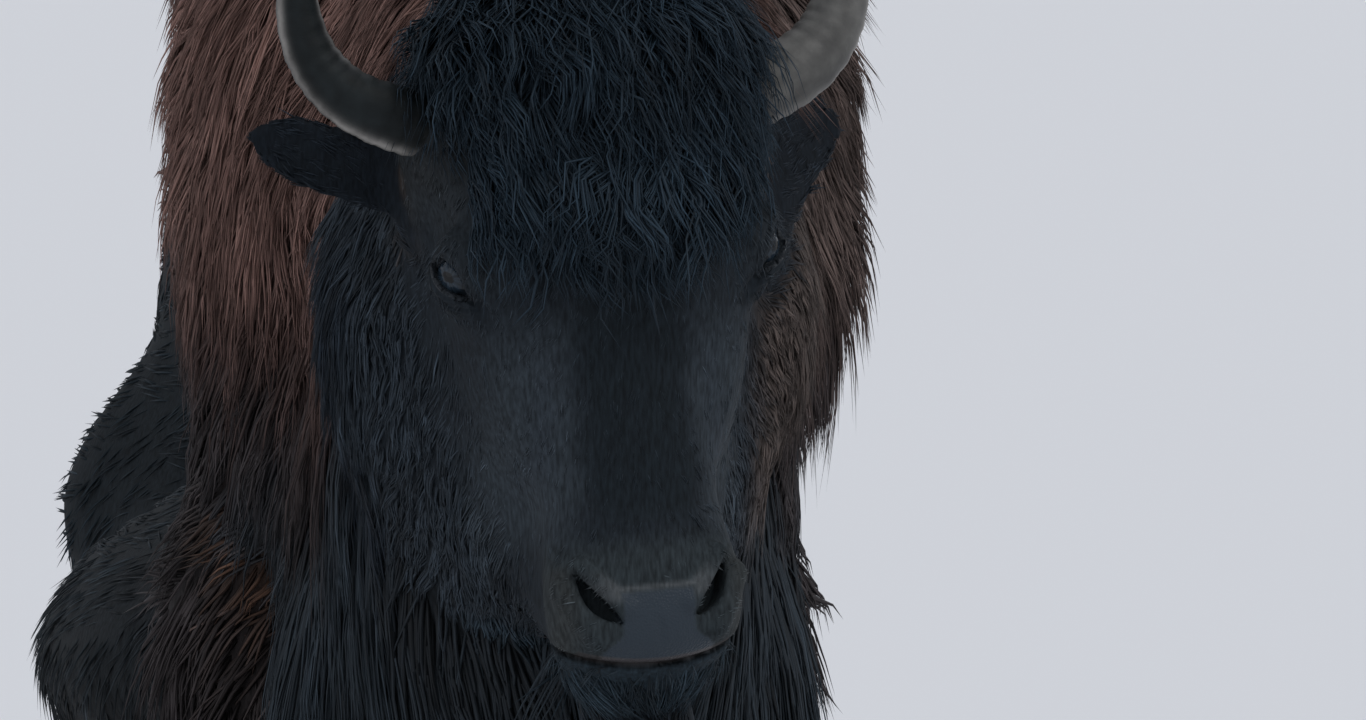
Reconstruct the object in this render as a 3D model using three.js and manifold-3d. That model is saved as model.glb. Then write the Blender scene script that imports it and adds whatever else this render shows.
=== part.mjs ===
// American bison, adult cow, standing still: a life-size model in winter coat.
// Units are millimetres. The animal faces -Y, its right side is -X, up is +Z, and its hooves stand on z = 0.
// The form is one field of distances: rounded masses and limbs named below are blended together, grown
// outwards by the depth of the coat, and turned into faceted solids that are parted by thin flat cuts.
import * as THREE from 'three';
import { mergeVertices } from 'three/addons/utils/BufferGeometryUtils.js';
import Module from 'manifold-3d';

const wasm = await Module();
wasm.setup();

// ---------------------------------------------------------------- driving sizes
const GAP = 0.4;                    // width of the cuts between neighbouring parts
const HUMP_TOP = 1540;              // skin height at the top of the hump
const HUMP_Y = -360;                // where the hump peaks, along the body
const EYE_HEIGHT = 1040;            // height of the point midway between the eyes
const EYE_FORWARD = -1100;          // that point, along the body
const EYE_ASIDE = 28;              // and how far it is carried to the animal's left
const HEAD_TURN = 8.8;                // degrees the face turns to the animal's left
const HEAD_LIFT = 3.5;              // degrees the face leans back from upright
const HEAD_ROLL = 4.7;              // degrees the animal's left eye is raised
const COAT_CAPE = 38;               // depth of the coat on hump, neck and shoulders
const COAT_REAR = 14;               // on barrel and hindquarters
const COAT_LEG = 4;                 // on the shanks
const COAT_FACE = 6;                // on the face
const FORE_STEP = { left: -35, right: 20 };   // how far each forefoot is set along the body
const HIND_STEP = { left: 35, right: -40 };   // and each hind foot
const SPREAD = { left: -20, right: 45 };        // how far the limbs of that side stand out from under the body
const FORE_FADE = [700, 1050], HIND_FADE = [620, 880];   // heights between which that spread dies away
const EYE_R = 19;                   // eyeball
const HOOF_TOP = 74;                // height of the coronet, where hoof meets hair
// lattice pitch of each solid, one number or one for each axis
const CELL = { trunk: [80, 114, 86], neck: 68, head: 30, mop: 35, beard: [36, 36, 50], fore: [38, 40, 70], hind: [41, 46, 68], tail: [25, 27, 68], tuft: [26, 26, 50], ear: 16 };

// ---------------------------------------------------------------- masses of the body, skin level
// ell:  centre x y z, radii x y z, lean about X in degrees (front up), blend
// cone: end x y z r, end x y z r, width factor across X, blend
// A row whose name starts with '=' stands on both sides of the body.
const BODY = [
  ['ribs', 'ell', 0, 20, 1010, 206, 560, 385, 5, 1],
  ['belly', 'ell', -52, 225, 630, 310, 465, 160, 2, 140],
  ['chest', 'ell', 0, -400, 900, 152, 300, 300, 0, 100],
  ['hump_front', 'cone', 0, -600, 1325, 95, 0, HUMP_Y, HUMP_TOP - 105, 105, 1, 90],
  ['hump_back', 'cone', 0, HUMP_Y, HUMP_TOP - 105, 105, 0, 0, 1315, 115, 1, 60],
  ['back', 'cone', 0, 0, 1315, 115, 0, 380, 1185, 130, 1, 60],
  ['loin', 'cone', 0, 380, 1185, 130, 0, 760, 1130, 140, 1.15, 60],
  ['croup', 'cone', 0, 760, 1130, 140, 0, 985, 1070, 110, 1.1, 60],
  ['hips', 'ell', 0, 730, 1010, 192, 370, 235, -4, 110],
  ['=hip_bone', 'ell', 152, 560, 1150, 54, 95, 66, 0, 80],
  ['=shoulder', 'ell', 138, -410, 1140, 92, 200, 232, -8, 90],
  ['right_shoulder', 'ell', -150, -390, 1050, 92, 215, 290, -6, 90],
  ['=shoulder_point', 'ell', 106, -560, 860, 56, 100, 135, 0, 60],
  ['=pin_bone', 'ell', 92, 1010, 1060, 60, 62, 70, 0, 70],
  ['udder', 'ell', 0, 600, 735, 85, 120, 65, 0, 60],
  ['neck_crest', 'cone', 0, -560, 1350, 98, 14, -835, 1215, 82, 1, 90],
  ['nape', 'cone', 14, -835, 1215, 82, 22, -975, 1160, 72, 1, 60],
  ['neck_core', 'cone', 0, -560, 1130, 188, 14, -880, 1075, 122, 1, 110],
  ['neck_under', 'cone', 0, -560, 900, 140, 14, -860, 985, 98, 1, 100],
];
// Limbs, skin level. Each is moved along Y by its step, least at the top and most at the foot.
const FORE = [
  ['upper_arm', 'cone', 104, -430, 850, 80, 150, -335, 680, 72, 1, 60],
  ['forearm', 'cone', 160, -345, 680, 74, 148, -440, 400, 49, 1, 50],
  ['knee', 'ell', 148, -446, 388, 47, 50, 66, 0, 26],
  ['cannon', 'cone', 146, -440, 350, 37, 142, -440, 150, 33, 1, 26],
  ['fetlock', 'ell', 142, -440, 138, 43, 46, 42, 0, 26],
  ['pastern', 'cone', 142, -442, 130, 38, 142, -466, 62, 44, 1.1, 22],
];
const HIND = [
  ['thigh', 'ell', 132, 790, 830, 104, 235, 235, 12, 90],
  ['buttock', 'ell', 118, 985, 925, 78, 92, 190, 0, 80],
  ['stifle', 'ell', 168, 668, 695, 82, 118, 124, 0, 80],
  ['gaskin', 'cone', 182, 745, 740, 108, 160, 965, 505, 46, 1, 60],
  ['hock', 'ell', 158, 985, 470, 42, 58, 72, -14, 30],
  ['hock_point', 'cone', 156, 1028, 540, 24, 158, 1000, 480, 40, 1, 24],
  ['shank', 'cone', 157, 985, 430, 41, 155, 918, 175, 35, 1, 26],
  ['hind_fetlock', 'ell', 155, 905, 142, 44, 47, 43, 0, 26],
  ['hind_pastern', 'cone', 155, 900, 130, 39, 155, 872, 62, 44, 1.1, 22],
];
const TAIL = [
  ['tail_root', 'cone', 0, 1030, 1170, 46, 0, 1118, 1085, 26, 1, 1],
  ['tail_stem', 'cone', 0, 1118, 1085, 26, 0, 1132, 800, 17, 1, 20],
];
// Hair that hangs clear of the skin, coat level
const HANG = [
  ['throat_mane', 'ell', -5, -745, 800, 176, 185, 255, -12, 90],
  ['brisket_mane', 'ell', -3, -640, 672, 224, 190, 146, 0, 90],
  ['chest_fringe', 'ell', 0, -330, 640, 120, 260, 68, 0, 60],
];
const CHAPS = [
  ['chap', 'cone', 154, -345, 640, 92, 148, -425, 452, 82, 1, 60],
  ['chap_foot', 'cone', 148, -425, 452, 82, 147, -436, 382, 58, 1, 40],
];

// ---------------------------------------------------------------- masses of the head, skin level
// The head's own frame: x to its left, y into the head from the brow, z up the face; 0 midway between the eyes.
const HEAD = [
  ['skull', 'ell', 0, 122, 78, 124, 124, 112, 0, 1],
  ['brow', 'ell', 0, 62, 20, 118, 66, 78, 0, 50],
  ['bridge', 'cone', 0, 78, -10, 82, 0, 62, -195, 64, 1.08, 50],
  ['muzzle', 'ell', 0, 40, -258, 78, 52, 56, 0, 40],
  ['lip', 'ell', 0, 44, -286, 67, 50, 36, 0, 26],
  ['=jaw', 'cone', 62, 215, -20, 48, 40, 120, -240, 34, 1, 46],
  ['chin', 'cone', 0, 120, -262, 46, 0, 80, -300, 44, 1.35, 34],
  ['=cheek', 'ell', 62, 140, -50, 52, 105, 115, 0, 50],
  ['=orbit', 'ell', 111, 58, 2, 27, 33, 33, 0, 26],
  ['=horn_seat', 'ell', 108, 96, 112, 38, 40, 38, 0, 30],
  ['occiput', 'ell', 0, 190, 90, 112, 100, 110, 0, 60],
];
// Cheek and throat hair of the head, coat level
const RUFF = [
  ['=ruff', 'ell', 96, 248, -46, 103, 98, 165, 0, 50],
  ['=jowl', 'ell', 58, 212, -188, 72, 92, 98, 0, 50],
  ['temple', 'ell', 0, 130, 60, 142, 100, 90, 0, 50],
];
const MOP = [
  ['mop_crown', 'ell', 0, 82, 170, 122, 112, 90, 0, 1],
  ['mop_front', 'ell', 0, 30, 100, 112, 66, 92, 0, 50],
  ['mop_fall', 'cone', 0, 22, 56, 66, 0, -8, -16, 24, 1.5, 46],
];
const BEARD = [
  ['beard_top', 'cone', 0, 110, -318, 52, 8, 122, -400, 44, 1.15, 1],
  ['beard_tip', 'cone', 8, 122, -400, 44, 14, 132, -500, 13, 1.1, 30],
];
const EYE = [119, 54, 0];                         // centre of the left eyeball
const EYE_OUT = 38;                                // degrees its gaze turns from sideways towards the front
const LIDS = [30, 12.5];                           // half length and half height of the opening between the lids
const HORN = [                                     // centreline of the left horn: x, y, z, radius
  [110, 92, 114, 27], [158, 84, 130, 25.5], [190, 86, 149, 23], [211, 90, 178, 20.5],
  [219, 92, 214, 17.5], [217, 88, 248, 14], [207, 80, 276, 10], [194, 70, 296, 5.5], [188, 66, 304, 2.5],
];
const HORN_THICK = { left: 1.12, right: 1 };       // the left horn is the stouter
// the right ear stands out, the left one is laid back
const EAR = { base: [118, 142, 66], tip: { left: [232, 206, 90], right: [250, 160, 124] }, half: 27, thick: 9, coat: 5 };
const earTip = (side) => EAR.tip[side > 0 ? 'left' : 'right'];

// ---------------------------------------------------------------- fields
const rad = (a) => a * Math.PI / 180;
const clamp = (v, a, b) => Math.min(b, Math.max(a, v));
const smooth = (v, a, b) => { const t = clamp((v - a) / (b - a), 0, 1); return t * t * (3 - 2 * t); };
const mix = (a, b, t) => a + (b - a) * t;
const blend = (a, b, k) => { const h = Math.max(k - Math.abs(a - b), 0) / k; return Math.min(a, b) - h * h * k / 4; };

function ellipsoid(x, y, z, [cx, cy, cz, rx, ry, rz, lean]) {
  const c = Math.cos(rad(lean)), s = Math.sin(rad(lean));
  const px = x - cx, py = y - cy, pz = z - cz;
  const qy = py * c - pz * s, qz = py * s + pz * c;
  const a = Math.hypot(px / rx, qy / ry, qz / rz);
  const b = Math.hypot(px / (rx * rx), qy / (ry * ry), qz / (rz * rz));
  return b > 1e-9 ? a * (a - 1) / b : -Math.min(rx, ry, rz);
}
function cone(x, y, z, [ax, ay, az, ra, bx, by, bz, rb, wide]) {
  const vx = (bx - ax) / wide, vy = by - ay, vz = bz - az;
  const px = (x - ax) / wide, py = y - ay, pz = z - az;
  const t = clamp((px * vx + py * vy + pz * vz) / (vx * vx + vy * vy + vz * vz), 0, 1);
  return Math.hypot(px - vx * t, py - vy * t, pz - vz * t) - mix(ra, rb, t);
}
function massOf(rows, x, y, z, start = 1e9) {
  let d = start;
  for (const [name, kind, ...v] of rows) {
    const mx = name[0] === '=' ? Math.abs(x) : x;
    d = blend(d, kind === 'ell' ? ellipsoid(mx, y, z, v) : cone(mx, y, z, v), v[v.length - 1]);
  }
  return d;
}
// the head's frame
const turn = new THREE.Matrix4().makeRotationZ(rad(HEAD_TURN))
  .multiply(new THREE.Matrix4().makeRotationX(rad(-HEAD_LIFT)))
  .multiply(new THREE.Matrix4().makeRotationY(rad(-HEAD_ROLL)));
const headMatrix = new THREE.Matrix4().makeTranslation(EYE_ASIDE, EYE_FORWARD, EYE_HEIGHT).multiply(turn);
const intoHead = headMatrix.clone().invert();
const IH = intoHead.elements;
const toHead = (x, y, z) => [
  IH[0] * x + IH[4] * y + IH[8] * z + IH[12],
  IH[1] * x + IH[5] * y + IH[9] * z + IH[13],
  IH[2] * x + IH[6] * y + IH[10] * z + IH[14]];

const stepAt = (z, foot, top) => foot * clamp(1 - (z - 60) / (top - 60), 0, 1);
const limbField = (rows, step, top, fade) => (x, y, z) => {
  const side = x > 0 ? 'left' : 'right';
  return massOf(rows, Math.abs(x) - SPREAD[side] * (1 - smooth(z, fade[0], fade[1])), y - stepAt(z, step[side], top), z);
};
const foreField = limbField(FORE, FORE_STEP, 640, FORE_FADE), hindField = limbField(HIND, HIND_STEP, 740, HIND_FADE), chapField = limbField(CHAPS, FORE_STEP, 640, FORE_FADE);

function coatDepth(y, z) {
  const cape = 1 - smooth(y, -230, 60);
  return mix(COAT_LEG, mix(COAT_REAR, COAT_CAPE, cape), smooth(z, 330, 560));
}
function bodyCoat(x, y, z) {
  let d = massOf(BODY, x, y, z);
  d = blend(d, foreField(x, y, z), 70);
  d = blend(d, hindField(x, y, z), 90);
  d -= coatDepth(y, z);
  d = blend(d, chapField(x, y, z), 50);
  return massOf(HANG, x, y, z, d);
}
function headCoat(hx, hy, hz) {
  const d = massOf(HEAD, hx, hy, hz) - COAT_FACE;
  return massOf(RUFF, hx, hy, hz, d);
}
// the whole animal but for mop, beard, ears, horns, eyes, tail and hooves
const coat = (x, y, z) => blend(bodyCoat(x, y, z), headCoat(...toHead(x, y, z)), 60);

// ---------------------------------------------------------------- from field to faceted solid
function netOf(field, lo, hi, pitch, level = 0, jog = 0) {
  const c3 = Array.isArray(pitch) ? pitch : [pitch, pitch, pitch], cell = Math.min(...c3);
  const n = [0, 1, 2].map((i) => Math.ceil((hi[i] - lo[i]) / c3[i]) + 2);
  const at = (i, k) => lo[k] + (i - 0.5 + jog) * c3[k];
  const inside = (x, y, z) => Math.max(lo[0] - x, x - hi[0], lo[1] - y, y - hi[1], lo[2] - z, z - hi[2]);
  const f = (x, y, z) => Math.max(field(x, y, z) - level, inside(x, y, z));
  const [nx, ny, nz] = n, v = new Float64Array(nx * ny * nz);
  const id = (i, j, k) => i + nx * (j + ny * k);
  for (let k = 0; k < nz; k++) for (let j = 0; j < ny; j++) for (let i = 0; i < nx; i++) v[id(i, j, k)] = f(at(i, 0), at(j, 1), at(k, 2));
  const where = new Map(), pts = [];
  for (let k = 0; k < nz - 1; k++) for (let j = 0; j < ny - 1; j++) for (let i = 0; i < nx - 1; i++) {
    let s = [0, 0, 0], m = 0;
    for (let a = 0; a < 8; a++) for (let ax = 0; ax < 3; ax++) {
      if (a >> ax & 1) continue;
      const b = a | 1 << ax;
      const A = [i + (a & 1), j + (a >> 1 & 1), k + (a >> 2 & 1)], B = [i + (b & 1), j + (b >> 1 & 1), k + (b >> 2 & 1)];
      const va = v[id(...A)], vb = v[id(...B)];
      if ((va < 0) === (vb < 0)) continue;
      const t = va / (va - vb);
      for (let c = 0; c < 3; c++) s[c] += A[c] + (B[c] - A[c]) * t;
      m++;
    }
    if (!m) continue;
    let p = [at(s[0] / m, 0), at(s[1] / m, 1), at(s[2] / m, 2)];
    for (let r = 0; r < 4; r++) {
      const e = 2, w = f(...p);
      const g = [0, 1, 2].map((c) => { const q = [...p], u = [...p]; q[c] += e; u[c] -= e; return (f(...q) - f(...u)) / (2 * e); });
      const gg = g[0] ** 2 + g[1] ** 2 + g[2] ** 2;
      if (gg < 1e-6) break;
      const step = clamp(w / Math.sqrt(gg), -cell * 0.3, cell * 0.3) / Math.sqrt(gg);
      p = p.map((q, c) => q - g[c] * step);
    }
    where.set(id(i, j, k), pts.length / 3);
    pts.push(...p);
  }
  const tris = [];
  const far = (a, b) => Math.hypot(pts[3 * a] - pts[3 * b], pts[3 * a + 1] - pts[3 * b + 1], pts[3 * a + 2] - pts[3 * b + 2]);
  for (let k = 0; k < nz - 1; k++) for (let j = 0; j < ny - 1; j++) for (let i = 0; i < nx - 1; i++) for (let ax = 0; ax < 3; ax++) {
    const o = [i, j, k], e = [...o]; e[ax]++;
    if (o[(ax + 1) % 3] < 1 || o[(ax + 2) % 3] < 1) continue;
    const va = v[id(...o)], vb = v[id(...e)];
    if ((va < 0) === (vb < 0)) continue;
    const b1 = (ax + 1) % 3, b2 = (ax + 2) % 3;
    const q = [[0, 0], [-1, 0], [-1, -1], [0, -1]].map(([s1, s2]) => { const c = [...o]; c[b1] += s1; c[b2] += s2; return where.get(id(...c)); });
    if (va >= 0) q.reverse();
    if (far(q[0], q[2]) <= far(q[1], q[3])) tris.push(q[0], q[1], q[2], q[0], q[2], q[3]);
    else tris.push(q[1], q[2], q[3], q[1], q[3], q[0]);
  }
  return { pts, tris };
}
// true where every edge is shared by just two triangles
function cleanNet({ tris }) {
  const seen = new Map();
  for (let i = 0; i < tris.length; i += 3) for (let c = 0; c < 3; c++) {
    const a = tris[i + c], b = tris[i + (c + 1) % 3], key = Math.min(a, b) * 1e6 + Math.max(a, b);
    seen.set(key, (seen.get(key) || 0) + 1);
  }
  return [...seen.values()].every((n) => n === 2);
}
const solidOf = ({ pts, tris }) => new wasm.Manifold(new wasm.Mesh({ numProp: 3, vertProperties: Float32Array.from(pts), triVerts: Uint32Array.from(tris) }));
// a field's solid; the lattice is shifted or made a little finer if two sheets fall in one cell
function solidFrom(field, lo, hi, cell, level = 0) {
  for (const scale of [1, 0.93, 0.86, 0.8]) for (const jog of [0, 0.2, 0.4, -0.2, 0.1, 0.3, -0.1]) {
    const net = netOf(field, lo, hi, Array.isArray(cell) ? cell.map((c) => c * scale) : cell * scale, level, jog);
    if (cleanNet(net)) return solidOf(net);
  }
  throw new Error('no clean lattice');
}
function solidOfGeometry(geometry) {
  const g = geometry.clone();
  for (const key of Object.keys(g.attributes)) if (key !== 'position') g.deleteAttribute(key);
  const m = mergeVertices(g, 1e-4);
  return solidOf({ pts: Array.from(m.attributes.position.array), tris: Array.from(m.index.array) });
}
const largest = (solid) => solid.decompose().sort((a, b) => b.volume() - a.volume())[0];
const boxOf = (lo, hi, matrix = null) => {
  const g = new THREE.BoxGeometry(hi[0] - lo[0], hi[1] - lo[1], hi[2] - lo[2]);
  g.translate((lo[0] + hi[0]) / 2, (lo[1] + hi[1]) / 2, (lo[2] + hi[2]) / 2);
  if (matrix) g.applyMatrix4(matrix);
  return solidOfGeometry(g);
};

// ---------------------------------------------------------------- head, parted from the neck along the jaw and behind the ears
const HEAD_BACK = 262;                             // the cut behind the jaw, into the head
const JAW_LINE = { at: [0, 96, -352], out: new THREE.Vector3(0, 0.81, -0.585).normalize() };
function headRegion(grow) {
  const low = [-330, -140, -420], high = [330, HEAD_BACK + grow, 330];
  const slab = boxOf(low, high, headMatrix);
  const out = JAW_LINE.out.clone().transformDirection(headMatrix);
  const on = new THREE.Vector3(...JAW_LINE.at).applyMatrix4(headMatrix);
  // keeps the side above the jaw line
  return slab.trimByPlane([-out.x, -out.y, -out.z], -(out.dot(on) + grow));
}
const hornField = (side) => (x, y, z) => {
  const [hx, hy, hz] = toHead(x, y, z);
  const thick = HORN_THICK[side > 0 ? 'left' : 'right'];
  let d = 1e9;
  for (let i = 0; i + 1 < HORN.length; i++) {
    const a = HORN[i], b = HORN[i + 1];
    d = blend(d, cone(side * hx, hy, hz, [a[0], a[1], a[2], a[3] * thick, b[0], b[1], b[2], b[3] * thick, 1]), 4);
  }
  return d;
};
// a tapered tube along the horn's centreline
function hornSolid(side, grow = 0) {
  const path = new THREE.CatmullRomCurve3(HORN.map(([x, y, z]) => new THREE.Vector3(side * x, y, z)));
  const radius = (t) => { const s = t * (HORN.length - 1), i = Math.min(HORN.length - 2, Math.floor(s)); return mix(HORN[i][3], HORN[i + 1][3], s - i) * HORN_THICK[side > 0 ? 'left' : 'right']; };
  const rings = 10, round = 9, pts = [], tris = [];
  const axis = new THREE.Vector3(0, 1, 0);
  for (let i = 0; i <= rings; i++) {
    const t = i / rings, c = path.getPoint(t), d = path.getTangent(t);
    const u = new THREE.Vector3().crossVectors(axis, d).normalize(), w = new THREE.Vector3().crossVectors(d, u).normalize();
    for (let j = 0; j < round; j++) {
      const a = 2 * Math.PI * j / round, r = radius(t) + grow;
      const p = c.clone().addScaledVector(u, r * Math.cos(a)).addScaledVector(w, r * Math.sin(a)).applyMatrix4(headMatrix);
      pts.push(p.x, p.y, p.z);
    }
  }
  for (let i = 0; i < rings; i++) for (let j = 0; j < round; j++) {
    const a = i * round + j, b = i * round + (j + 1) % round, c = a + round, d = b + round;
    tris.push(a, b, d, a, d, c);
  }
  for (const [ring, first] of [[0, true], [rings, false]]) {
    const m = pts.length / 3, c = path.getPoint(ring / rings).applyMatrix4(headMatrix);
    pts.push(c.x, c.y, c.z);
    for (let j = 0; j < round; j++) {
      const a = ring * round + j, b = ring * round + (j + 1) % round;
      if (first) tris.push(m, b, a); else tris.push(m, a, b);
    }
  }
  return solidOf({ pts, tris });
}
// ears: a leaf, cupped towards the front
const earField = (side, grow = 0) => (x, y, z) => {
  const h = toHead(x, y, z), b = EAR.base, t = earTip(side);
  const p = [side * h[0] - b[0], h[1] - b[1], h[2] - b[2]], v = [t[0] - b[0], t[1] - b[1], t[2] - b[2]];
  const long = Math.hypot(...v), s = (p[0] * v[0] + p[1] * v[1] + p[2] * v[2]) / long;
  const up = [-v[2] / Math.hypot(v[0], v[2]), 0, v[0] / Math.hypot(v[0], v[2])];
  const a = p[0] * up[0] + p[2] * up[2];
  const n = [v[1] * up[2] / long, (v[2] * up[0] - v[0] * up[2]) / long, -v[1] * up[0] / long];
  const d = 8 * (a / EAR.half) ** 2 - (p[0] * n[0] + p[1] * n[1] + p[2] * n[2]);
  const u = clamp(s / long, -0.3, 1.2), half = EAR.half * Math.sqrt(clamp(1 - ((u - 0.42) / 0.62) ** 4, 0.02, 1)) + EAR.coat;
  const q = Math.hypot(a / half, d / (EAR.thick + EAR.coat), (Math.max(0, Math.abs(s - long * 0.42) - long * 0.2) / (long * 0.42)) ** 1.6);
  return (q - 1) * (EAR.thick + EAR.coat) - grow;
};

const around = (points, pad) => [0, 1].map((side) => [0, 1, 2].map((c) => (side ? Math.max : Math.min)(...points.map((p) => p[c])) + (side ? pad : -pad)));
const headPoint = (...h) => new THREE.Vector3(...h).applyMatrix4(headMatrix).toArray();
const corners = (lo, hi) => [0, 1, 2, 3, 4, 5, 6, 7].map((i) => headPoint(i & 1 ? hi[0] : lo[0], i & 2 ? hi[1] : lo[1], i & 4 ? hi[2] : lo[2]));

const parts = {};
const [headLo, headHi] = around(corners([-165, -25, -350], [165, 300, 215]), 30);
const headNet = (level) => solidFrom(coat, headLo, headHi, CELL.head, level);
const headWhole = headNet(0), headGrown = headNet(GAP + 1);

for (const [name, side] of [['left', 1], ['right', -1]]) {
  const eye = new THREE.SphereGeometry(EYE_R, 12, 8);
  eye.applyMatrix4(new THREE.Matrix4().makeTranslation(side * EYE[0], EYE[1], EYE[2]).premultiply(headMatrix));
  parts[`eye_${name}`] = solidOfGeometry(eye);
  parts[`horn_${name}`] = largest(hornSolid(side).subtract(headGrown));
  const [lo, hi] = around([headPoint(side * EAR.base[0], EAR.base[1], EAR.base[2]), headPoint(side * earTip(side)[0], earTip(side)[1], earTip(side)[2])], 60);
  parts[`ear_${name}`] = largest(solidFrom(earField(side), lo, hi, CELL.ear).subtract(headGrown).subtract(hornSolid(side, GAP)));
}
const eyeHoles = ['left', 'right'].map((name, i) => {
  const g = new THREE.SphereGeometry(EYE_R + GAP, 12, 8);
  g.applyMatrix4(new THREE.Matrix4().makeTranslation((i ? -1 : 1) * EYE[0], EYE[1], EYE[2]).premultiply(headMatrix));
  return solidOfGeometry(g);
});
// the opening between the lids: a lens-shaped cut in front of each eye
const lidHoles = [1, -1].map((side) => {
  const g = new THREE.SphereGeometry(1, 12, 6);
  g.scale(LIDS[0], 24, LIDS[1]);
  const m = new THREE.Matrix4().makeTranslation(side * (EYE[0] + 24 * Math.cos(rad(EYE_OUT))), EYE[1] - 24 * Math.sin(rad(EYE_OUT)), EYE[2])
    .multiply(new THREE.Matrix4().makeRotationZ(side * rad(90 - EYE_OUT)))
    .multiply(new THREE.Matrix4().makeRotationY(side * rad(-46)));
  g.applyMatrix4(m.premultiply(headMatrix));
  return solidOfGeometry(g);
});
parts.head = largest([...eyeHoles, ...lidHoles].reduce((m, hole) => m.subtract(hole), headWhole.intersect(headRegion(0))));

// ---------------------------------------------------------------- mop and beard
const inHead = (rows) => (x, y, z) => massOf(rows, ...toHead(x, y, z));
{
  const [lo, hi] = around(corners([-150, -60, -40], [150, 205, 275]), 25);
  let mop = solidFrom(inHead(MOP), lo, hi, CELL.mop).subtract(headGrown);
  for (const side of [1, -1]) {
    mop = mop.subtract(hornSolid(side, GAP));
    const [a, b] = around([headPoint(side * EAR.base[0], EAR.base[1], EAR.base[2]), headPoint(side * earTip(side)[0], earTip(side)[1], earTip(side)[2])], 60);
    mop = mop.subtract(solidFrom(earField(side, GAP + 0.3), a, b, CELL.ear));
  }
  parts.mop = largest(mop);
}
{
  const [lo, hi] = around(corners([-75, 50, -520], [75, 190, -260]), 25);
  parts.beard = largest(solidFrom(inHead(BEARD), lo, hi, CELL.beard).subtract(headGrown));
}

// ---------------------------------------------------------------- neck, trunk and legs, parted by flat cuts
const NECK_CUT = -612;                             // where neck meets shoulders
const FORE_BOX = { lo: [74, -611.7, -20], hi: [420, -185, 606] };
const HIND_BOX = { lo: [34, 560, -20], hi: [420, 1200, 700] };
const sided = (box, side, grow) => boxOf(
  [side > 0 ? box.lo[0] - grow : -box.hi[0] - grow, box.lo[1] - grow, box.lo[2] - grow],
  [side > 0 ? box.hi[0] + grow : -box.lo[0] + grow, box.hi[1] + grow, box.hi[2] + grow]);

const neckWhole = solidFrom(coat, [-330, -1010, 480], [360, -500, 1620], CELL.neck);
const neckFront = neckWhole.trimByPlane([0, -1, 0], -NECK_CUT + GAP / 2);
parts.neck = largest(neckFront.subtract(headRegion(GAP)).subtract(solidFrom(inHead(BEARD), ...around(corners([-75, 50, -520], [75, 190, -260]), 25), CELL.beard, GAP + 0.3)));

const trunkWhole = solidFrom(coat, [-420, -760, 540], [420, 1190, 1640], CELL.trunk);
let trunk = trunkWhole.trimByPlane([0, 1, 0], NECK_CUT + GAP / 2);
for (const side of [1, -1]) trunk = trunk.subtract(sided(FORE_BOX, side, GAP)).subtract(sided(HIND_BOX, side, GAP));
const tailField = (x, y, z) => massOf(TAIL, x, y, z) - 9;
const tailWhole = (level) => solidFrom(tailField, [-80, 960, 720], [80, 1190, 1250], CELL.tail, level);
parts.trunk = largest(trunk);

for (const [name, side] of [['left', 1], ['right', -1]]) {
  const foreLo = side > 0 ? [46, -680, 40] : [-400, -680, 40], foreHi = side > 0 ? [400, -150, 680] : [-46, -150, 680];
  const hindLo = side > 0 ? [0, 480, 40] : [-400, 480, 40], hindHi = side > 0 ? [400, 1200, 780] : [0, 1200, 780];
  parts[`foreleg_${name}`] = largest(solidFrom(coat, foreLo, foreHi, CELL.fore).intersect(sided(FORE_BOX, side, 0)).trimByPlane([0, 0, 1], HOOF_TOP + GAP));
  parts[`hindleg_${name}`] = largest(solidFrom(coat, hindLo, hindHi, CELL.hind).intersect(sided(HIND_BOX, side, 0)).trimByPlane([0, 0, 1], HOOF_TOP + GAP));
  // two claws to a foot
  for (const [foot, midX, midY] of [['fore', 142 + SPREAD[name], -466 + FORE_STEP[name]], ['hind', 155 + SPREAD[name], 872 + HIND_STEP[name]]]) {
    for (const [which, off] of [['inner', -1], ['outer', 1]]) {
      parts[`hoof_${foot}_${name}_${which}`] = hoofClaw(side * (midX + off * 26.2), midY, side * off);
    }
  }
}
// a claw: wide flat sole, sloping front wall, rounded toe
function hoofClaw(x, y, out) {
  const around = 12, levels = [[0, 1], [40, 0.92], [HOOF_TOP, 0.76]], pts = [], tris = [];
  const half = 25.4, toe = 66, heel = 40;
  for (const [z, s] of levels) for (let j = 0; j < around; j++) {
    const a = 2 * Math.PI * j / around, c = Math.cos(a), q = Math.sin(a);
    const front = q < 0 ? toe : heel;
    let px = half * Math.sign(c) * Math.abs(c) ** 0.8 * s, py = front * Math.sign(q) * Math.abs(q) ** 0.9 * s;
    if (c * out < 0) px = Math.max(-half, Math.min(half, px)) * (1 + 0.03 * (1 - s));
    pts.push(x + px, y + py + (1 - s) * 46 - 6, z);
  }
  const n = levels.length;
  for (let i = 0; i + 1 < n; i++) for (let j = 0; j < around; j++) {
    const a = i * around + j, b = i * around + (j + 1) % around;
    tris.push(a, b, b + around, a, b + around, a + around);
  }
  for (let j = 1; j + 1 < around; j++) tris.push(0, j + 1, j, (n - 1) * around, (n - 1) * around + j, (n - 1) * around + j + 1);
  return solidOf({ pts, tris });
}

// ---------------------------------------------------------------- tail
{
  // the tail stops short of the trunk: the trunk is taken off it in place, and again a little behind and below
  const grown = trunkWhole.add(trunkWhole.translate([0, 1.2, 0])).add(trunkWhole.translate([0, 0.6, -1.2]));
  parts.tail = largest(tailWhole(0).subtract(grown).trimByPlane([0, 0, 1], 846));
  const tuft = (x, y, z) => massOf([
    ['a', 'cone', 0, 1128, 850, 26, 0, 1136, 760, 37, 1, 1],
    ['b', 'cone', 0, 1136, 760, 37, 0, 1138, 620, 10, 1, 20]], x, y, z);
  parts.tail_tuft = largest(solidFrom(tuft, [-60, 1060, 590], [60, 1200, 900], CELL.tuft).trimByPlane([0, 0, -1], -846 + GAP));
}

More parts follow.
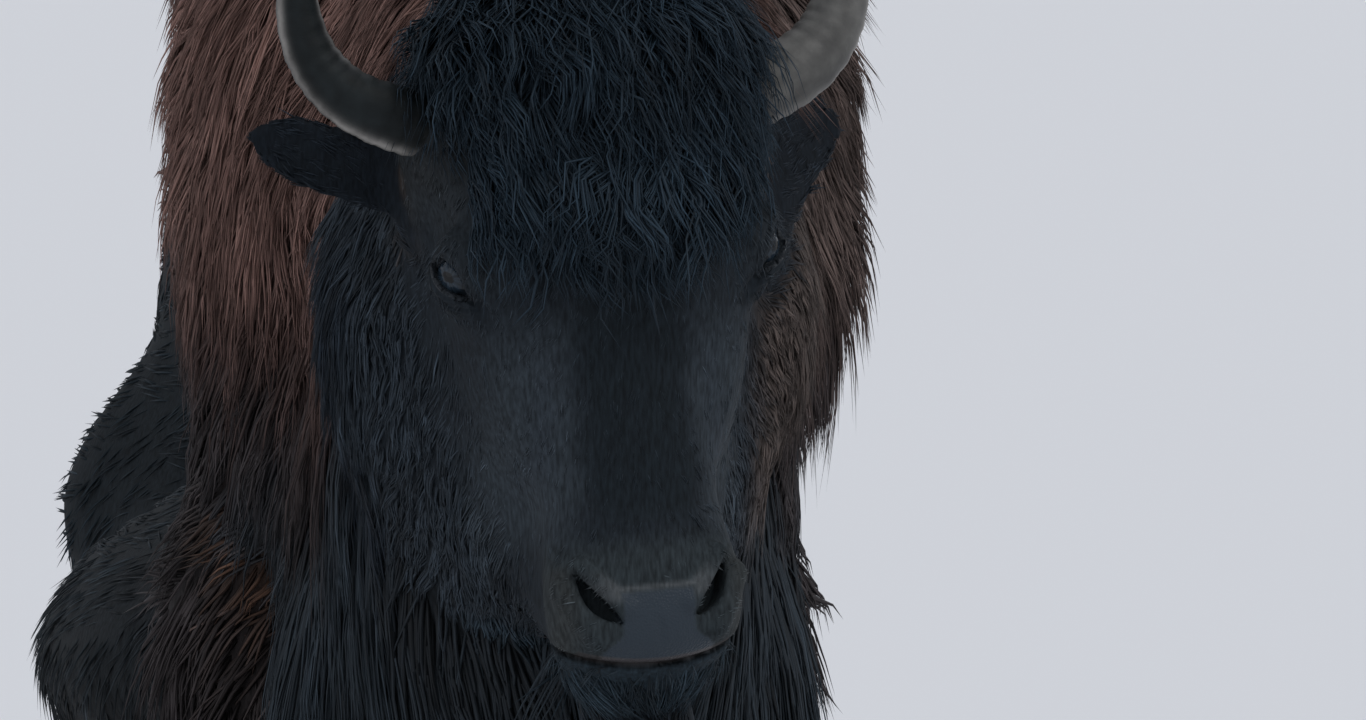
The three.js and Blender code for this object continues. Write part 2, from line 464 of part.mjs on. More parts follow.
// ---------------------------------------------------------------- materials and scene
const coatRust = new THREE.MeshStandardMaterial({ color: 0x4a2c20, roughness: 0.95 });
const coatDark = new THREE.MeshStandardMaterial({ color: 0x231d1b, roughness: 0.95 });
const coatBrown = new THREE.MeshStandardMaterial({ color: 0x33241d, roughness: 0.95 });
const hornGrey = new THREE.MeshStandardMaterial({ color: 0x5b554e, roughness: 0.5 });
const hoofBlack = new THREE.MeshStandardMaterial({ color: 0x1d1a18, roughness: 0.5 });
const eyeDark = new THREE.MeshStandardMaterial({ color: 0x140c08, roughness: 0.1 });
const looks = [[/^eye/, eyeDark], [/^horn/, hornGrey], [/^hoof/, hoofBlack], [/^(neck|trunk)/, coatRust], [/^(head|mop|beard|ear|tail_tuft)/, coatDark], [/./, coatBrown]];

// draws together the ends of edges too short to matter, where both ends share just two neighbours
const SHORTEST = 0.2;
function tidied(solid) {
  const { numProp, vertProperties, triVerts } = solid.getMesh();
  const at = (i) => [vertProperties[i * numProp], vertProperties[i * numProp + 1], vertProperties[i * numProp + 2]];
  let tris = [];
  for (let i = 0; i < triVerts.length; i += 3) tris.push([triVerts[i], triVerts[i + 1], triVerts[i + 2]]);
  for (let pass = 0; pass < 60; pass++) {
    const ring = new Map();
    for (const t of tris) for (const v of t) { if (!ring.has(v)) ring.set(v, new Set()); t.forEach((w) => w !== v && ring.get(v).add(w)); }
    const gone = new Map(), touched = new Set();
    for (const t of tris) for (let c = 0; c < 3; c++) {
      const a = t[c], b = t[(c + 1) % 3];
      if (touched.has(a) || touched.has(b)) continue;
      const A = at(a), B = at(b);
      if (Math.hypot(A[0] - B[0], A[1] - B[1], A[2] - B[2]) > SHORTEST) continue;
      if ([...ring.get(a)].filter((w) => ring.get(b).has(w)).length !== 2) continue;
      gone.set(b, a);
      for (const v of [a, b]) { touched.add(v); ring.get(v).forEach((w) => touched.add(w)); }
    }
    if (!gone.size) break;
    tris = tris.map((t) => t.map((v) => (gone.has(v) ? gone.get(v) : v))).filter(([a, b, c]) => a !== b && b !== c && a !== c);
  }
  return new Float32Array(tris.flat().flatMap(at));
}

const bison = new THREE.Group();
bison.name = 'bison';
for (const [name, solid] of Object.entries(parts)) {
  const p = tidied(solid);
  const geometry = new THREE.BufferGeometry();
  geometry.setAttribute('position', new THREE.BufferAttribute(p, 3));
  geometry.computeVertexNormals();
  const mesh = new THREE.Mesh(geometry, looks.find(([k]) => k.test(name))[1]);
  mesh.name = name;
  bison.add(mesh);
}
// the origin sits on the floor under the middle of the whole
const bounds = new THREE.Box3().setFromObject(bison);
bison.children.forEach((m) => m.geometry.translate(-(bounds.min.x + bounds.max.x) / 2, -(bounds.min.y + bounds.max.y) / 2, -bounds.min.z));
export default bison;
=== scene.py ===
# Standing bison cow: skin, coat, eyes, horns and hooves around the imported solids.
# Lengths in the tables are millimetres in the design frame of the solids (animal faces -Y, right side -X).
import math
import time
import bpy
import numpy as np
from mathutils import Matrix, Vector
from mathutils.bvhtree import BVHTree
from mathutils.kdtree import KDTree

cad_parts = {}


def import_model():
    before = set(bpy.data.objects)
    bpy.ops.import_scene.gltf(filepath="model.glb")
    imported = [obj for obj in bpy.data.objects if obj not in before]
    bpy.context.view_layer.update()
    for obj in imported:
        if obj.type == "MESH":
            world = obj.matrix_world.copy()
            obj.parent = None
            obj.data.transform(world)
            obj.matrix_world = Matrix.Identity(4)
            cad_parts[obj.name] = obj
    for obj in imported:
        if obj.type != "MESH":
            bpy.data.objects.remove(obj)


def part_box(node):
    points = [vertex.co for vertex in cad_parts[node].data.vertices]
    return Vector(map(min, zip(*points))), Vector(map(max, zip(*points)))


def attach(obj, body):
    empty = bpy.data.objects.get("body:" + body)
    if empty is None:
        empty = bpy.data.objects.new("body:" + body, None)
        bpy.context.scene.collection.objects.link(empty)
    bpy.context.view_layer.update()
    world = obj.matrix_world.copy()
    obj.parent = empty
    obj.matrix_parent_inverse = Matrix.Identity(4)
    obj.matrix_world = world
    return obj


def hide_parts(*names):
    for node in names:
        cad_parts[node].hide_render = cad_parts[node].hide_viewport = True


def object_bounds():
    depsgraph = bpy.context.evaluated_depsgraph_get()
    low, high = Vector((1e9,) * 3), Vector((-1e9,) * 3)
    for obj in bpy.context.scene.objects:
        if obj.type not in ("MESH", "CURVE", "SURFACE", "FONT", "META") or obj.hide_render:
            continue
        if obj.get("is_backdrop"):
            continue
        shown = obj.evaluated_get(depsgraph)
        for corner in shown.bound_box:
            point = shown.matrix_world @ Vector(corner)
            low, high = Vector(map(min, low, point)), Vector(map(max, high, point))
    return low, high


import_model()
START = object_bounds()
T0 = time.time()


def note(*a):
    print('[scene %5.1fs]' % (time.time() - T0), *a)


# ------------------------------------------------------------------ sizes shared with the solids
HUMP_TOP, HUMP_Y = 1540.0, -360.0
EYE_HEIGHT, EYE_FORWARD, EYE_ASIDE = 1040.0, -1100.0, 28.0
HEAD_TURN, HEAD_LIFT, HEAD_ROLL = 8.8, 3.5, 4.7
COAT_CAPE, COAT_REAR, COAT_LEG, COAT_FACE = 38.0, 14.0, 4.0, 6.0
FORE_STEP = (-35.0, 20.0)      # left, right
HIND_STEP = (35.0, -40.0)
SPREAD = (-20.0, 45.0)
EYE_R = 19.0
EYE = (119.0, 54.0, 0.0)
EYE_OUT = 38.0
HOOF_TOP = 74.0

BODY = [
    ('ribs', 'ell', 0, 20, 1010, 206, 560, 385, 5, 1),
    ('belly', 'ell', -52, 225, 630, 310, 465, 160, 2, 140),
    ('chest', 'ell', 0, -400, 900, 152, 300, 300, 0, 100),
    ('hump_front', 'cone', 0, -600, 1325, 95, 0, HUMP_Y, HUMP_TOP - 105, 105, 1, 90),
    ('hump_back', 'cone', 0, HUMP_Y, HUMP_TOP - 105, 105, 0, 0, 1315, 115, 1, 60),
    ('back', 'cone', 0, 0, 1315, 115, 0, 380, 1185, 130, 1, 60),
    ('loin', 'cone', 0, 380, 1185, 130, 0, 760, 1130, 140, 1.15, 60),
    ('croup', 'cone', 0, 760, 1130, 140, 0, 985, 1070, 110, 1.1, 60),
    ('hips', 'ell', 0, 730, 1010, 192, 370, 235, -4, 110),
    ('=hip_bone', 'ell', 152, 560, 1150, 54, 95, 66, 0, 80),
    ('=shoulder', 'ell', 138, -410, 1140, 92, 200, 232, -8, 90),
    ('right_shoulder', 'ell', -150, -390, 1050, 92, 215, 290, -6, 90),
    ('=shoulder_point', 'ell', 106, -560, 860, 56, 100, 135, 0, 60),
    ('=pin_bone', 'ell', 92, 1010, 1060, 60, 62, 70, 0, 70),
    ('udder', 'ell', 0, 600, 735, 85, 120, 65, 0, 60),
    ('neck_crest', 'cone', 0, -560, 1350, 98, 14, -835, 1215, 82, 1, 90),
    ('nape', 'cone', 14, -835, 1215, 82, 22, -975, 1160, 72, 1, 60),
    ('neck_core', 'cone', 0, -560, 1130, 188, 14, -880, 1075, 122, 1, 110),
    ('neck_under', 'cone', 0, -560, 900, 140, 14, -860, 985, 98, 1, 100),
]
FORE = [
    ('upper_arm', 'cone', 104, -430, 850, 80, 150, -335, 680, 72, 1, 60),
    ('forearm', 'cone', 160, -345, 680, 74, 148, -440, 400, 49, 1, 50),
    ('knee', 'ell', 148, -446, 388, 47, 50, 66, 0, 26),
    ('cannon', 'cone', 146, -440, 350, 37, 142, -440, 150, 33, 1, 26),
    ('fetlock', 'ell', 142, -440, 138, 43, 46, 42, 0, 26),
    ('pastern', 'cone', 142, -442, 130, 38, 142, -466, 62, 44, 1.1, 22),
]
HIND = [
    ('thigh', 'ell', 132, 790, 830, 104, 235, 235, 12, 90),
    ('buttock', 'ell', 118, 985, 925, 78, 92, 190, 0, 80),
    ('stifle', 'ell', 168, 668, 695, 82, 118, 124, 0, 80),
    ('gaskin', 'cone', 182, 745, 740, 108, 160, 965, 505, 46, 1, 60),
    ('hock', 'ell', 158, 985, 470, 42, 58, 72, -14, 30),
    ('hock_point', 'cone', 156, 1028, 540, 24, 158, 1000, 480, 40, 1, 24),
    ('shank', 'cone', 157, 985, 430, 41, 155, 918, 175, 35, 1, 26),
    ('hind_fetlock', 'ell', 155, 905, 142, 44, 47, 43, 0, 26),
    ('hind_pastern', 'cone', 155, 900, 130, 39, 155, 872, 62, 44, 1.1, 22),
]
TAIL = [
    ('tail_root', 'cone', 0, 1030, 1170, 46, 0, 1118, 1085, 26, 1, 1),
    ('tail_stem', 'cone', 0, 1118, 1085, 26, 0, 1132, 800, 17, 1, 20),
]
HANG = [
    ('throat_mane', 'ell', -5, -745, 800, 176, 185, 255, -12, 90),
    ('brisket_mane', 'ell', -3, -640, 672, 224, 190, 146, 0, 90),
    ('chest_fringe', 'ell', 0, -330, 640, 120, 260, 68, 0, 60),
]
CHAPS = [
    ('chap', 'cone', 154, -345, 640, 92, 148, -425, 452, 82, 1, 60),
    ('chap_foot', 'cone', 148, -425, 452, 82, 147, -436, 382, 58, 1, 40),
]
HEAD = [
    ('skull', 'ell', 0, 122, 78, 124, 124, 112, 0, 1),
    ('brow', 'ell', 0, 62, 20, 118, 66, 78, 0, 50),
    ('bridge', 'cone', 0, 78, -10, 82, 0, 62, -195, 64, 1.08, 50),
    ('muzzle', 'ell', 0, 40, -258, 78, 52, 56, 0, 40),
    ('lip', 'ell', 0, 44, -286, 67, 50, 36, 0, 26),
    ('=jaw', 'cone', 62, 215, -20, 48, 40, 120, -240, 34, 1, 46),
    ('chin', 'cone', 0, 120, -262, 46, 0, 80, -300, 44, 1.35, 34),
    ('=cheek', 'ell', 62, 140, -50, 52, 105, 115, 0, 50),
    ('=orbit', 'ell', 111, 58, 2, 27, 33, 33, 0, 26),
    ('=horn_seat', 'ell', 108, 96, 112, 38, 40, 38, 0, 30),
    ('occiput', 'ell', 0, 190, 90, 112, 100, 110, 0, 60),
]
RUFF = [
    ('=ruff', 'ell', 96, 248, -46, 103, 98, 165, 0, 50),
    ('=jowl', 'ell', 58, 212, -188, 72, 92, 98, 0, 50),
    ('temple', 'ell', 0, 130, 60, 142, 100, 90, 0, 50),
]
MOP = [
    ('mop_crown', 'ell', 0, 82, 170, 122, 112, 90, 0, 1),
    ('mop_front', 'ell', 0, 30, 100, 112, 66, 92, 0, 50),
    ('mop_fall', 'cone', 0, 22, 56, 66, 0, -8, -16, 24, 1.5, 46),
]
BEARD = [
    ('beard_top', 'cone', 0, 110, -318, 52, 8, 122, -400, 44, 1.15, 1),
    ('beard_tip', 'cone', 8, 122, -400, 44, 14, 132, -500, 13, 1.1, 30),
]
HORN = np.array([
    [110, 92, 114, 27], [158, 84, 130, 25.5], [190, 86, 149, 23], [211, 90, 178, 20.5],
    [219, 92, 214, 17.5], [217, 88, 248, 14], [207, 80, 276, 10], [194, 70, 296, 5.5], [188, 66, 304, 2.5]], float)
HORN_THICK = {1: 1.12, -1: 1.0}
EAR_BASE, EAR_HALF = np.array([118., 142., 66.]), 27.0
EAR_TIP = {1: np.array([232., 206., 90.]), -1: np.array([250., 160., 124.])}     # left laid back, right out
# how far each kind of hair mass is drawn in to make room for the locks that lie over it
IN_HANG, IN_CHAP, IN_RUFF, IN_MOP, IN_BEARD = 34.0, 24.0, 17.0, 24.0, 14.0

# ------------------------------------------------------------------ fields, on arrays of points (N, 3)
F = np.float32


def smooth(v, a, b):
    t = np.clip((v - a) / (b - a), 0, 1)
    return t * t * (3 - 2 * t)


def blend(a, b, k):
    h = np.maximum(k - np.abs(a - b), 0) / k
    return np.minimum(a, b) - h * h * (k / 4)


def carve(a, b, k):
    """a with b taken away, the edge rounded by k"""
    return -blend(-a, b, k)


def ellipsoid(P, v):
    cx, cy, cz, rx, ry, rz, lean = v[:7]
    c, s = math.cos(math.radians(lean)), math.sin(math.radians(lean))
    px, py, pz = P[:, 0] - cx, P[:, 1] - cy, P[:, 2] - cz
    qy, qz = (py * c - pz * s) / ry, (py * s + pz * c) / rz
    px = px / rx
    a = np.sqrt(px * px + qy * qy + qz * qz)
    b = np.sqrt((px / rx) ** 2 + (qy / ry) ** 2 + (qz / rz) ** 2) + 1e-9
    return a * (a - 1) / b


def cone(P, v):
    ax, ay, az, ra, bx, by, bz, rb, wide = v[:9]
    vx, vy, vz = (bx - ax) / wide, by - ay, bz - az
    px, py, pz = (P[:, 0] - ax) / wide, P[:, 1] - ay, P[:, 2] - az
    t = np.clip((px * vx + py * vy + pz * vz) / (vx * vx + vy * vy + vz * vz), 0, 1)
    px, py, pz = px - vx * t, py - vy * t, pz - vz * t
    return np.sqrt(px * px + py * py + pz * pz) - (ra + (rb - ra) * t)


def mass_of(rows, P, start=None, grow=0.0):
    d = np.full(len(P), 1e9, P.dtype) if start is None else start
    M = None
    for row in rows:
        Q = P
        if row[0][0] == '=':
            if M is None:
                M = P.copy()
                M[:, 0] = np.abs(M[:, 0])
            Q = M
        e = (ellipsoid if row[1] == 'ell' else cone)(Q, row[2:]) - grow
        d = blend(d, e, float(row[-1]))
    return d


def rot(axis, deg):
    return np.array(Matrix.Rotation(math.radians(deg), 3, axis))


R_HEAD = rot('Z', HEAD_TURN) @ rot('X', -HEAD_LIFT) @ rot('Y', -HEAD_ROLL)
O_HEAD = np.array([EYE_ASIDE, EYE_FORWARD, EYE_HEIGHT])


def to_head(P):
    return ((P - O_HEAD.astype(P.dtype)) @ R_HEAD.astype(P.dtype))


def from_head(H):
    return np.asarray(H, float) @ R_HEAD.T + O_HEAD


def limb(rows, step, top, P, grow=0.0):
    Q = P.copy()
    left = P[:, 0] > 0
    spread = np.where(left, SPREAD[0], SPREAD[1]).astype(P.dtype)
    st = np.where(left, step[0], step[1]).astype(P.dtype)
    Q[:, 0] = np.abs(P[:, 0]) - spread * (1 - smooth(P[:, 2], *((700, 1050) if top == 640 else (620, 880))))
    Q[:, 1] = P[:, 1] - st * np.clip(1 - (P[:, 2] - 60) / (top - 60), 0, 1)
    return mass_of(rows, Q, grow=grow)


def unit(v):
    v = np.asarray(v, float)
    return v / np.linalg.norm(v)


# the left eye's own axes in the head's frame: out along the gaze, along the slit (inner corner low and forward), across
GAZE = math.radians(49)
E_OUT = unit([math.cos(GAZE), -math.sin(GAZE), 0.03])
_a = np.array([0.50, 0.44, 0.74])
E_ALONG = unit(_a - E_OUT * (_a @ E_OUT))
E_ACROSS = np.cross(E_OUT, E_ALONG)          # towards brow and nose
SLIT_L, SLIT_H = 25.0, 10.4
NOSTRIL_A, NOSTRIL_B = (59., 4., -238.), (30., -9., -277.)


def lip_edge(H):
    """height of the mouth line, which rises towards its corners"""
    return -316 + 0.0020 * H[:, 0] ** 2 + 0.16 * np.maximum(H[:, 1], 0)


def head_skin(H):
    """the head's skin with lids, nostrils, mouth and folds, in the head's frame"""
    d = mass_of(HEAD, H)
    M = H.copy()
    M[:, 0] = np.abs(M[:, 0])
    # hollow of the temple behind the eye and the groove below it
    d = carve(d, ellipsoid(M, (128, 92, 34, 20, 34, 26, 0)), 30.0)
    # lids: a shell around the eyeball, then the slit
    q = M - np.array(EYE, M.dtype)
    o, a, b = (q @ ax.astype(M.dtype) for ax in (E_OUT, E_ALONG, E_ACROSS))
    r = np.sqrt(o * o + a * a * 0.93 + b * b)
    d = blend(d, r - (EYE_R + 3.4), 9.0)
    # brow ridge over the eye, and a soft roll under it
    d = blend(d, np.sqrt((b - 21) ** 2 + (o - 15) ** 2 + (np.maximum(np.abs(a - 2) - 14, 0)) ** 2) - 6.0, 16.0)
    edge = SLIT_H * (1 - (a / SLIT_L) ** 2)
    slit = np.maximum(np.abs(b - 0.12 * edge) - edge, -60) * 0.8
    slit = np.maximum(slit, np.maximum(5.0 + 0.9 * np.maximum(np.abs(a) - 13, 0) - o, EYE_R - 2.0 - r))
    d = carve(d, slit, 2.2)
    # creases that follow the lids
    near = np.exp(-((r - 26) / 9) ** 2) * smooth(o, 0, 12)
    d = d + near * 0.9 * np.sin((np.abs(b) - edge) * 0.85 - 1.2)
    # tear groove running down from the inner corner
    d = carve(d, cone(M, (112, 34, -20, 3.2, 94, 26, -62, 1.2, 1)), 9.0)
    # nostrils: a raised wing above, a soft swelling beside, then a slanting slot that runs inwards
    A, B = NOSTRIL_A, NOSTRIL_B
    d = blend(d, cone(M, (57, 4, -230, 4.2, 27, -9, -267, 6.5, 1)), 9.0)
    d = blend(d, cone(M, (70, 16, -250, 8, 48, 1, -288, 9, 1)), 13.0)
    t = unit(np.array(B) - np.array(A))
    inw = unit(np.array([0.10, 1.0, 0.30]) - t * (np.array([0.10, 1.0, 0.30]) @ t))
    wid = np.cross(t, inw)
    q = M - np.array(A, M.dtype)
    s, e, w = q @ t.astype(M.dtype), q @ inw.astype(M.dtype), q @ wid.astype(M.dtype)
    LN = float(np.linalg.norm(np.array(B) - np.array(A)))
    f = np.clip(s / LN, 0, 1)
    half = 1.3 + 5.4 * np.maximum(np.sin(math.pi * f ** 1.2), 0) ** 0.8
    w = w - 1.5 - 4.0 * np.sin(math.pi * f)
    slot = np.maximum(np.abs(w) - half, np.maximum(np.abs(s - LN * 0.5) - LN * 0.53, np.maximum(e - 24, -16 - e))) * 0.75
    d = carve(d, slot, 3.0)
    # philtrum, mouth line and chin crease
    d = carve(d, cone(M, (0, -14, -280, 1.4, 0, -6, -322, 1.8, 1)), 4.0)
    lipline = np.abs(H[:, 2] - lip_edge(H)) - 2.0
    mouth = np.maximum(lipline, np.maximum(H[:, 1] - 112, -60 - H[:, 1]))
    mouth = np.maximum(mouth, np.abs(H[:, 0]) - 74)
    mouth = np.maximum(mouth, -(mass_of(HEAD[3:7], H) + 5))
    d = carve(d, mouth, 5.0)
    # veins and dents of the long face
    d = d + 1.1 * np.sin(M[:, 0] * 0.05 + H[:, 2] * 0.021 + 1.0) * smooth(-H[:, 2], 20, 90) * smooth(H[:, 2], -230, -170)
    return d


def ear_skin(H, side):
    P = H.copy()
    P[:, 0] *= side
    P = P - EAR_BASE.astype(P.dtype)
    v = EAR_TIP[side] - EAR_BASE
    L = np.linalg.norm(v)
    v = v / L
    up = unit([-v[2], 0, v[0]])
    n = np.cross(v, up)
    s = P @ v.astype(P.dtype)
    a = P @ up.astype(P.dtype)
    d = -(P @ n.astype(P.dtype))
    u = np.clip(s / L, -0.3, 1.2)
    half = EAR_HALF * np.sqrt(np.clip(1 - ((u - 0.42) / 0.62) ** 4, 0.02, 1)) * 0.98
    bowl = 11 * (1 - np.clip((a / half) ** 2, 0, 1.4)) * smooth(u, 0.02, 0.3) * smooth(1.1 - u, 0.0, 0.25)
    d = d - bowl + 3
    q = np.sqrt((a / half) ** 2 + (d / 6.0) ** 2 + (np.maximum(0, np.abs(s - L * 0.42) - L * 0.2) / (L * 0.41)) ** 3.2)
    return (q - 1) * 6.0


def skin_field(P):
    z_low, y_low = P[:, 2].min(), P[:, 1].min()
    d = mass_of(BODY, P)
    if z_low < 1200:
        d = blend(d, limb(FORE, FORE_STEP, 640, P), 70.0)
        d = blend(d, limb(HIND, HIND_STEP, 740, P), 90.0)
        if z_low < 900:
            d = blend(d, limb(CHAPS, FORE_STEP, 640, P, -IN_CHAP), 50.0)
    if y_low < 60:
        d = mass_of(HANG, P, d, -IN_HANG)
    if P[:, 1].max() > 900:
        d = blend(d, mass_of(TAIL, P), 14.0)
    # a little unevenness, so that no flank is a plain curve
    d = d + 2.4 * np.sin(P[:, 1] * 0.021 + 1.3 * np.sin(P[:, 2] * 0.013)) * np.sin(P[:, 2] * 0.017 + 0.6) \
        * smooth(P[:, 2], 420, 700) * smooth(P[:, 1], -900, -700)
    front = 1 - smooth(P[:, 1] - 0.6 * (P[:, 2] - 980), -200, 100)
    d = d - 19.0 * (1 - smooth(P[:, 0], 60, 170) * (0.16 - 0.82 * smooth(P[:, 2], 880, 950) + 1.06 * smooth(P[:, 2], 1000, 1115))) * front * smooth(P[:, 2], 640, 800) * smooth(P[:, 1], -960, -860) - 5.0 * (1 - front) * smooth(P[:, 2], 450, 650)
    near = P[:, 1] < -640
    if near.any():
        Q = P[near]
        H = to_head(Q)
        h = head_skin(H)
        h = mass_of(RUFF, H, h, -IN_RUFF)
        h = blend(h, mass_of(MOP, H, grow=-IN_MOP), 16.0)
        h = blend(h, mass_of(BEARD, H, grow=-IN_BEARD), 16.0)
        for side in (1, -1):
            h = blend(h, ear_skin(H, side), 14.0)
        d[near] = blend(d[near], h, 60.0)
    return np.maximum(d, HOOF_TOP - 5 - P[:, 2])


# ------------------------------------------------------------------ from field to mesh
def ladder(spans):
    """grid lines from (start, stop, step) spans"""
    out = [spans[0][0]]
    for lo, hi, st in spans:
        n = max(1, int(round((hi - lo) / st)))
        out.extend(lo + (hi - lo) * np.arange(1, n + 1) / n)
    return np.array(out, F)


def extract(xs, ys, zs, field):
    """surface nets on a grid of uneven pitch, the field being worked out only in blocks near the surface"""
    nx, ny, nz = len(xs), len(ys), len(zs)
    V = np.full((nx, ny, nz), 50.0, F)
    B = 14
    cuts = [[(i, min(i + B, n - 1)) for i in range(0, n - 1, B)] for n in (nx, ny, nz)]
    boxes = [(a, b, c) for a in cuts[0] for b in cuts[1] for c in cuts[2]]
    mid = np.array([[(xs[a[0]] + xs[a[1]]) / 2, (ys[b[0]] + ys[b[1]]) / 2, (zs[c[0]] + zs[c[1]]) / 2] for a, b, c in boxes], F)
    rad = np.array([math.sqrt((xs[a[1]] - xs[a[0]]) ** 2 + (ys[b[1]] - ys[b[0]]) ** 2 + (zs[c[1]] - zs[c[0]]) ** 2) / 2 for a, b, c in boxes])
    dist = field(mid)
    for (a, b, c), m, r, d in zip(boxes, mid, rad, dist):
        sx, sy, sz = slice(a[0], a[1] + 1), slice(b[0], b[1] + 1), slice(c[0], c[1] + 1)
        if abs(d) > r * 1.7 + 25:
            V[sx, sy, sz] = np.where(V[sx, sy, sz] == 50.0, F(30.0 if d > 0 else -30.0), V[sx, sy, sz])
            continue
        gx, gy, gz = np.meshgrid(xs[sx], ys[sy], zs[sz], indexing='ij')
        P = np.stack([gx.ravel(), gy.ravel(), gz.ravel()], 1)
        V[sx, sy, sz] = field(P).reshape(gx.shape)
    note('field', V.shape)
    S = V < 0
    cell = np.zeros((nx - 1, ny - 1, nz - 1), bool)
    for ax, (A, Bm) in enumerate(((S[1:], S[:-1]), (S[:, 1:], S[:, :-1]), (S[:, :, 1:], S[:, :, :-1]))):
        X = A ^ Bm
        if ax == 0:
            X = X[:, :-1] | X[:, 1:]
            X = X[:, :, :-1] | X[:, :, 1:]
        elif ax == 1:
            X = X[:-1] | X[1:]
            X = X[:, :, :-1] | X[:, :, 1:]
        else:
            X = X[:-1] | X[1:]
            X = X[:, :-1] | X[:, 1:]
        cell |= X
    idx = np.argwhere(cell)
    number = np.full(cell.shape, -1, np.int32)
    number[tuple(idx.T)] = np.arange(len(idx), dtype=np.int32)
    corner = [(i, j, k) for i in (0, 1) for j in (0, 1) for k in (0, 1)]
    val = {c: V[idx[:, 0] + c[0], idx[:, 1] + c[1], idx[:, 2] + c[2]] for c in corner}
    acc = np.zeros((len(idx), 3), F)
    cnt = np.zeros(len(idx), F)
    for c in corner:
        for ax in range(3):
            if c[ax]:
                continue
            e = list(c)
            e[ax] = 1
            va, vb = val[c], val[tuple(e)]
            hit = (va < 0) != (vb < 0)
            t = np.where(hit, va / np.where(hit, va - vb, 1), 0)
            p = np.array(c, F)[None, :].repeat(len(idx), 0)
            p[:, ax] = t
            acc[hit] += p[hit]
            cnt[hit] += 1
    f = acc / np.maximum(cnt, 1)[:, None]
    lines = (xs, ys, zs)
    P = np.stack([lines[k][idx[:, k]] + f[:, k] * (lines[k][idx[:, k] + 1] - lines[k][idx[:, k]]) for k in range(3)], 1)
    quads = []
    for ax in range(3):
        A = [slice(None)] * 3
        Bs = [slice(None)] * 3
        A[ax], Bs[ax] = slice(None, -1), slice(1, None)
        sa, sb = S[tuple(A)], S[tuple(Bs)]
        e = np.argwhere(sa ^ sb)
        b1, b2 = (ax + 1) % 3, (ax + 2) % 3
        e = e[(e[:, b1] > 0) & (e[:, b2] > 0) & (e[:, b1] < S.shape[b1] - 1) & (e[:, b2] < S.shape[b2] - 1)]
        inside = sa[tuple(e.T)]
        q = []
        for s1, s2 in ((0, 0), (-1, 0), (-1, -1), (0, -1)):
            c = e.copy()
            c[:, b1] += s1
            c[:, b2] += s2
            q.append(number[tuple(c.T)])
        q = np.stack(q, 1)
        q[~inside] = q[~inside][:, ::-1]
        quads.append(q)
    return P.astype(float), np.concatenate(quads)


def slope(P, field, e=0.6):
    P = P.astype(F)
    g = np.empty_like(P)
    for k in range(3):
        q = P.copy()
        q[:, k] += e
        u = P.copy()
        u[:, k] -= e
        g[:, k] = (field(q) - field(u)) / (2 * e)
    return g


def settle(P, field, steps=3, most=3.0):
    P = P.astype(F)
    for _ in range(steps):
        w = field(P)
        g = slope(P, field)
        gg = np.sum(g * g, 1) + 1e-6
        P = P - g * (np.clip(w / np.sqrt(gg), -most, most) / np.sqrt(gg))[:, None]
    return P.astype(float)


def mesh_of(name, P, faces, smooth_it=True):
    me = bpy.data.meshes.new(name)
    faces = np.asarray(faces)
    if faces.ndim == 2:
        n = faces.shape[1]
        me.vertices.add(len(P))
        me.vertices.foreach_set('co', np.asarray(P, F).ravel())
        me.loops.add(faces.size)
        me.loops.foreach_set('vertex_index', faces.astype(np.int32).ravel())
        me.polygons.add(len(faces))
        me.polygons.foreach_set('loop_start', np.arange(0, faces.size, n, dtype=np.int32))
        me.polygons.foreach_set('loop_total', np.full(len(faces), n, np.int32))
    me.update(calc_edges=True)
    me.validate()
    me.polygons.foreach_set('use_smooth', np.full(len(me.polygons), smooth_it))
    return me


def attribute(me, name, data, kind='FLOAT_COLOR'):
    at = me.attributes.new(name, kind, 'POINT')
    if kind == 'FLOAT_COLOR':
        full = np.ones((len(data), 4), F)
        full[:, :3] = data
        at.data.foreach_set('color', full.ravel())
    else:
        at.data.foreach_set('value', np.asarray(data, F))


# where the solids stand against the design frame
CORNERS = np.array([list(v) for side in ('left', 'right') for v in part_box('eye_' + side)])
SHIFT = 1000 * CORNERS.mean(0) - (from_head(np.array([EYE]))[0] + from_head(np.array([[-EYE[0], EYE[1], EYE[2]]]))[0]) / 2


def world(P):
    return (np.asarray(P, float) + SHIFT) * 0.001


def add(name, me, nodes=()):
    ob = bpy.data.objects.new(name, me)
    bpy.context.scene.collection.objects.link(ob)
    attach(ob, 'root')
    if nodes:
        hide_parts(*nodes)
    return ob


# ------------------------------------------------------------------ the skin
xs = ladder([(-450, -275, 12), (-275, 300, 5.2), (300, 450, 12)])
ys = ladder([(-1216, -880, 4.4), (-880, -700, 7), (-700, 1200, 12)])
zs = ladder([(56, 640, 10), (640, 1300, 4.6), (1300, 1620, 10)])
SP, SQ = extract(xs, ys, zs, skin_field)
note('net', len(SP), len(SQ))
me = mesh_of('skin', SP, SQ)

# finer faces round eyes, nostrils and mouth
def finer(me, centres, times=1):
    import bmesh
    for rnd in range(times):
        bm = bmesh.new()
        bm.from_mesh(me)
        co = np.array([v.co[:] for v in bm.verts])
        near = np.zeros(len(co), bool)
        for c, r in centres:
            near |= np.linalg.norm(co - c, axis=1) < r * (1.0 - 0.12 * rnd)
        bm.verts.ensure_lookup_table()
        edges = [e for e in bm.edges if near[e.verts[0].index] and near[e.verts[1].index]]
        bmesh.ops.subdivide_edges(bm, edges=edges, cuts=1, use_grid_fill=True)
        bm.to_mesh(me)
        bm.free()


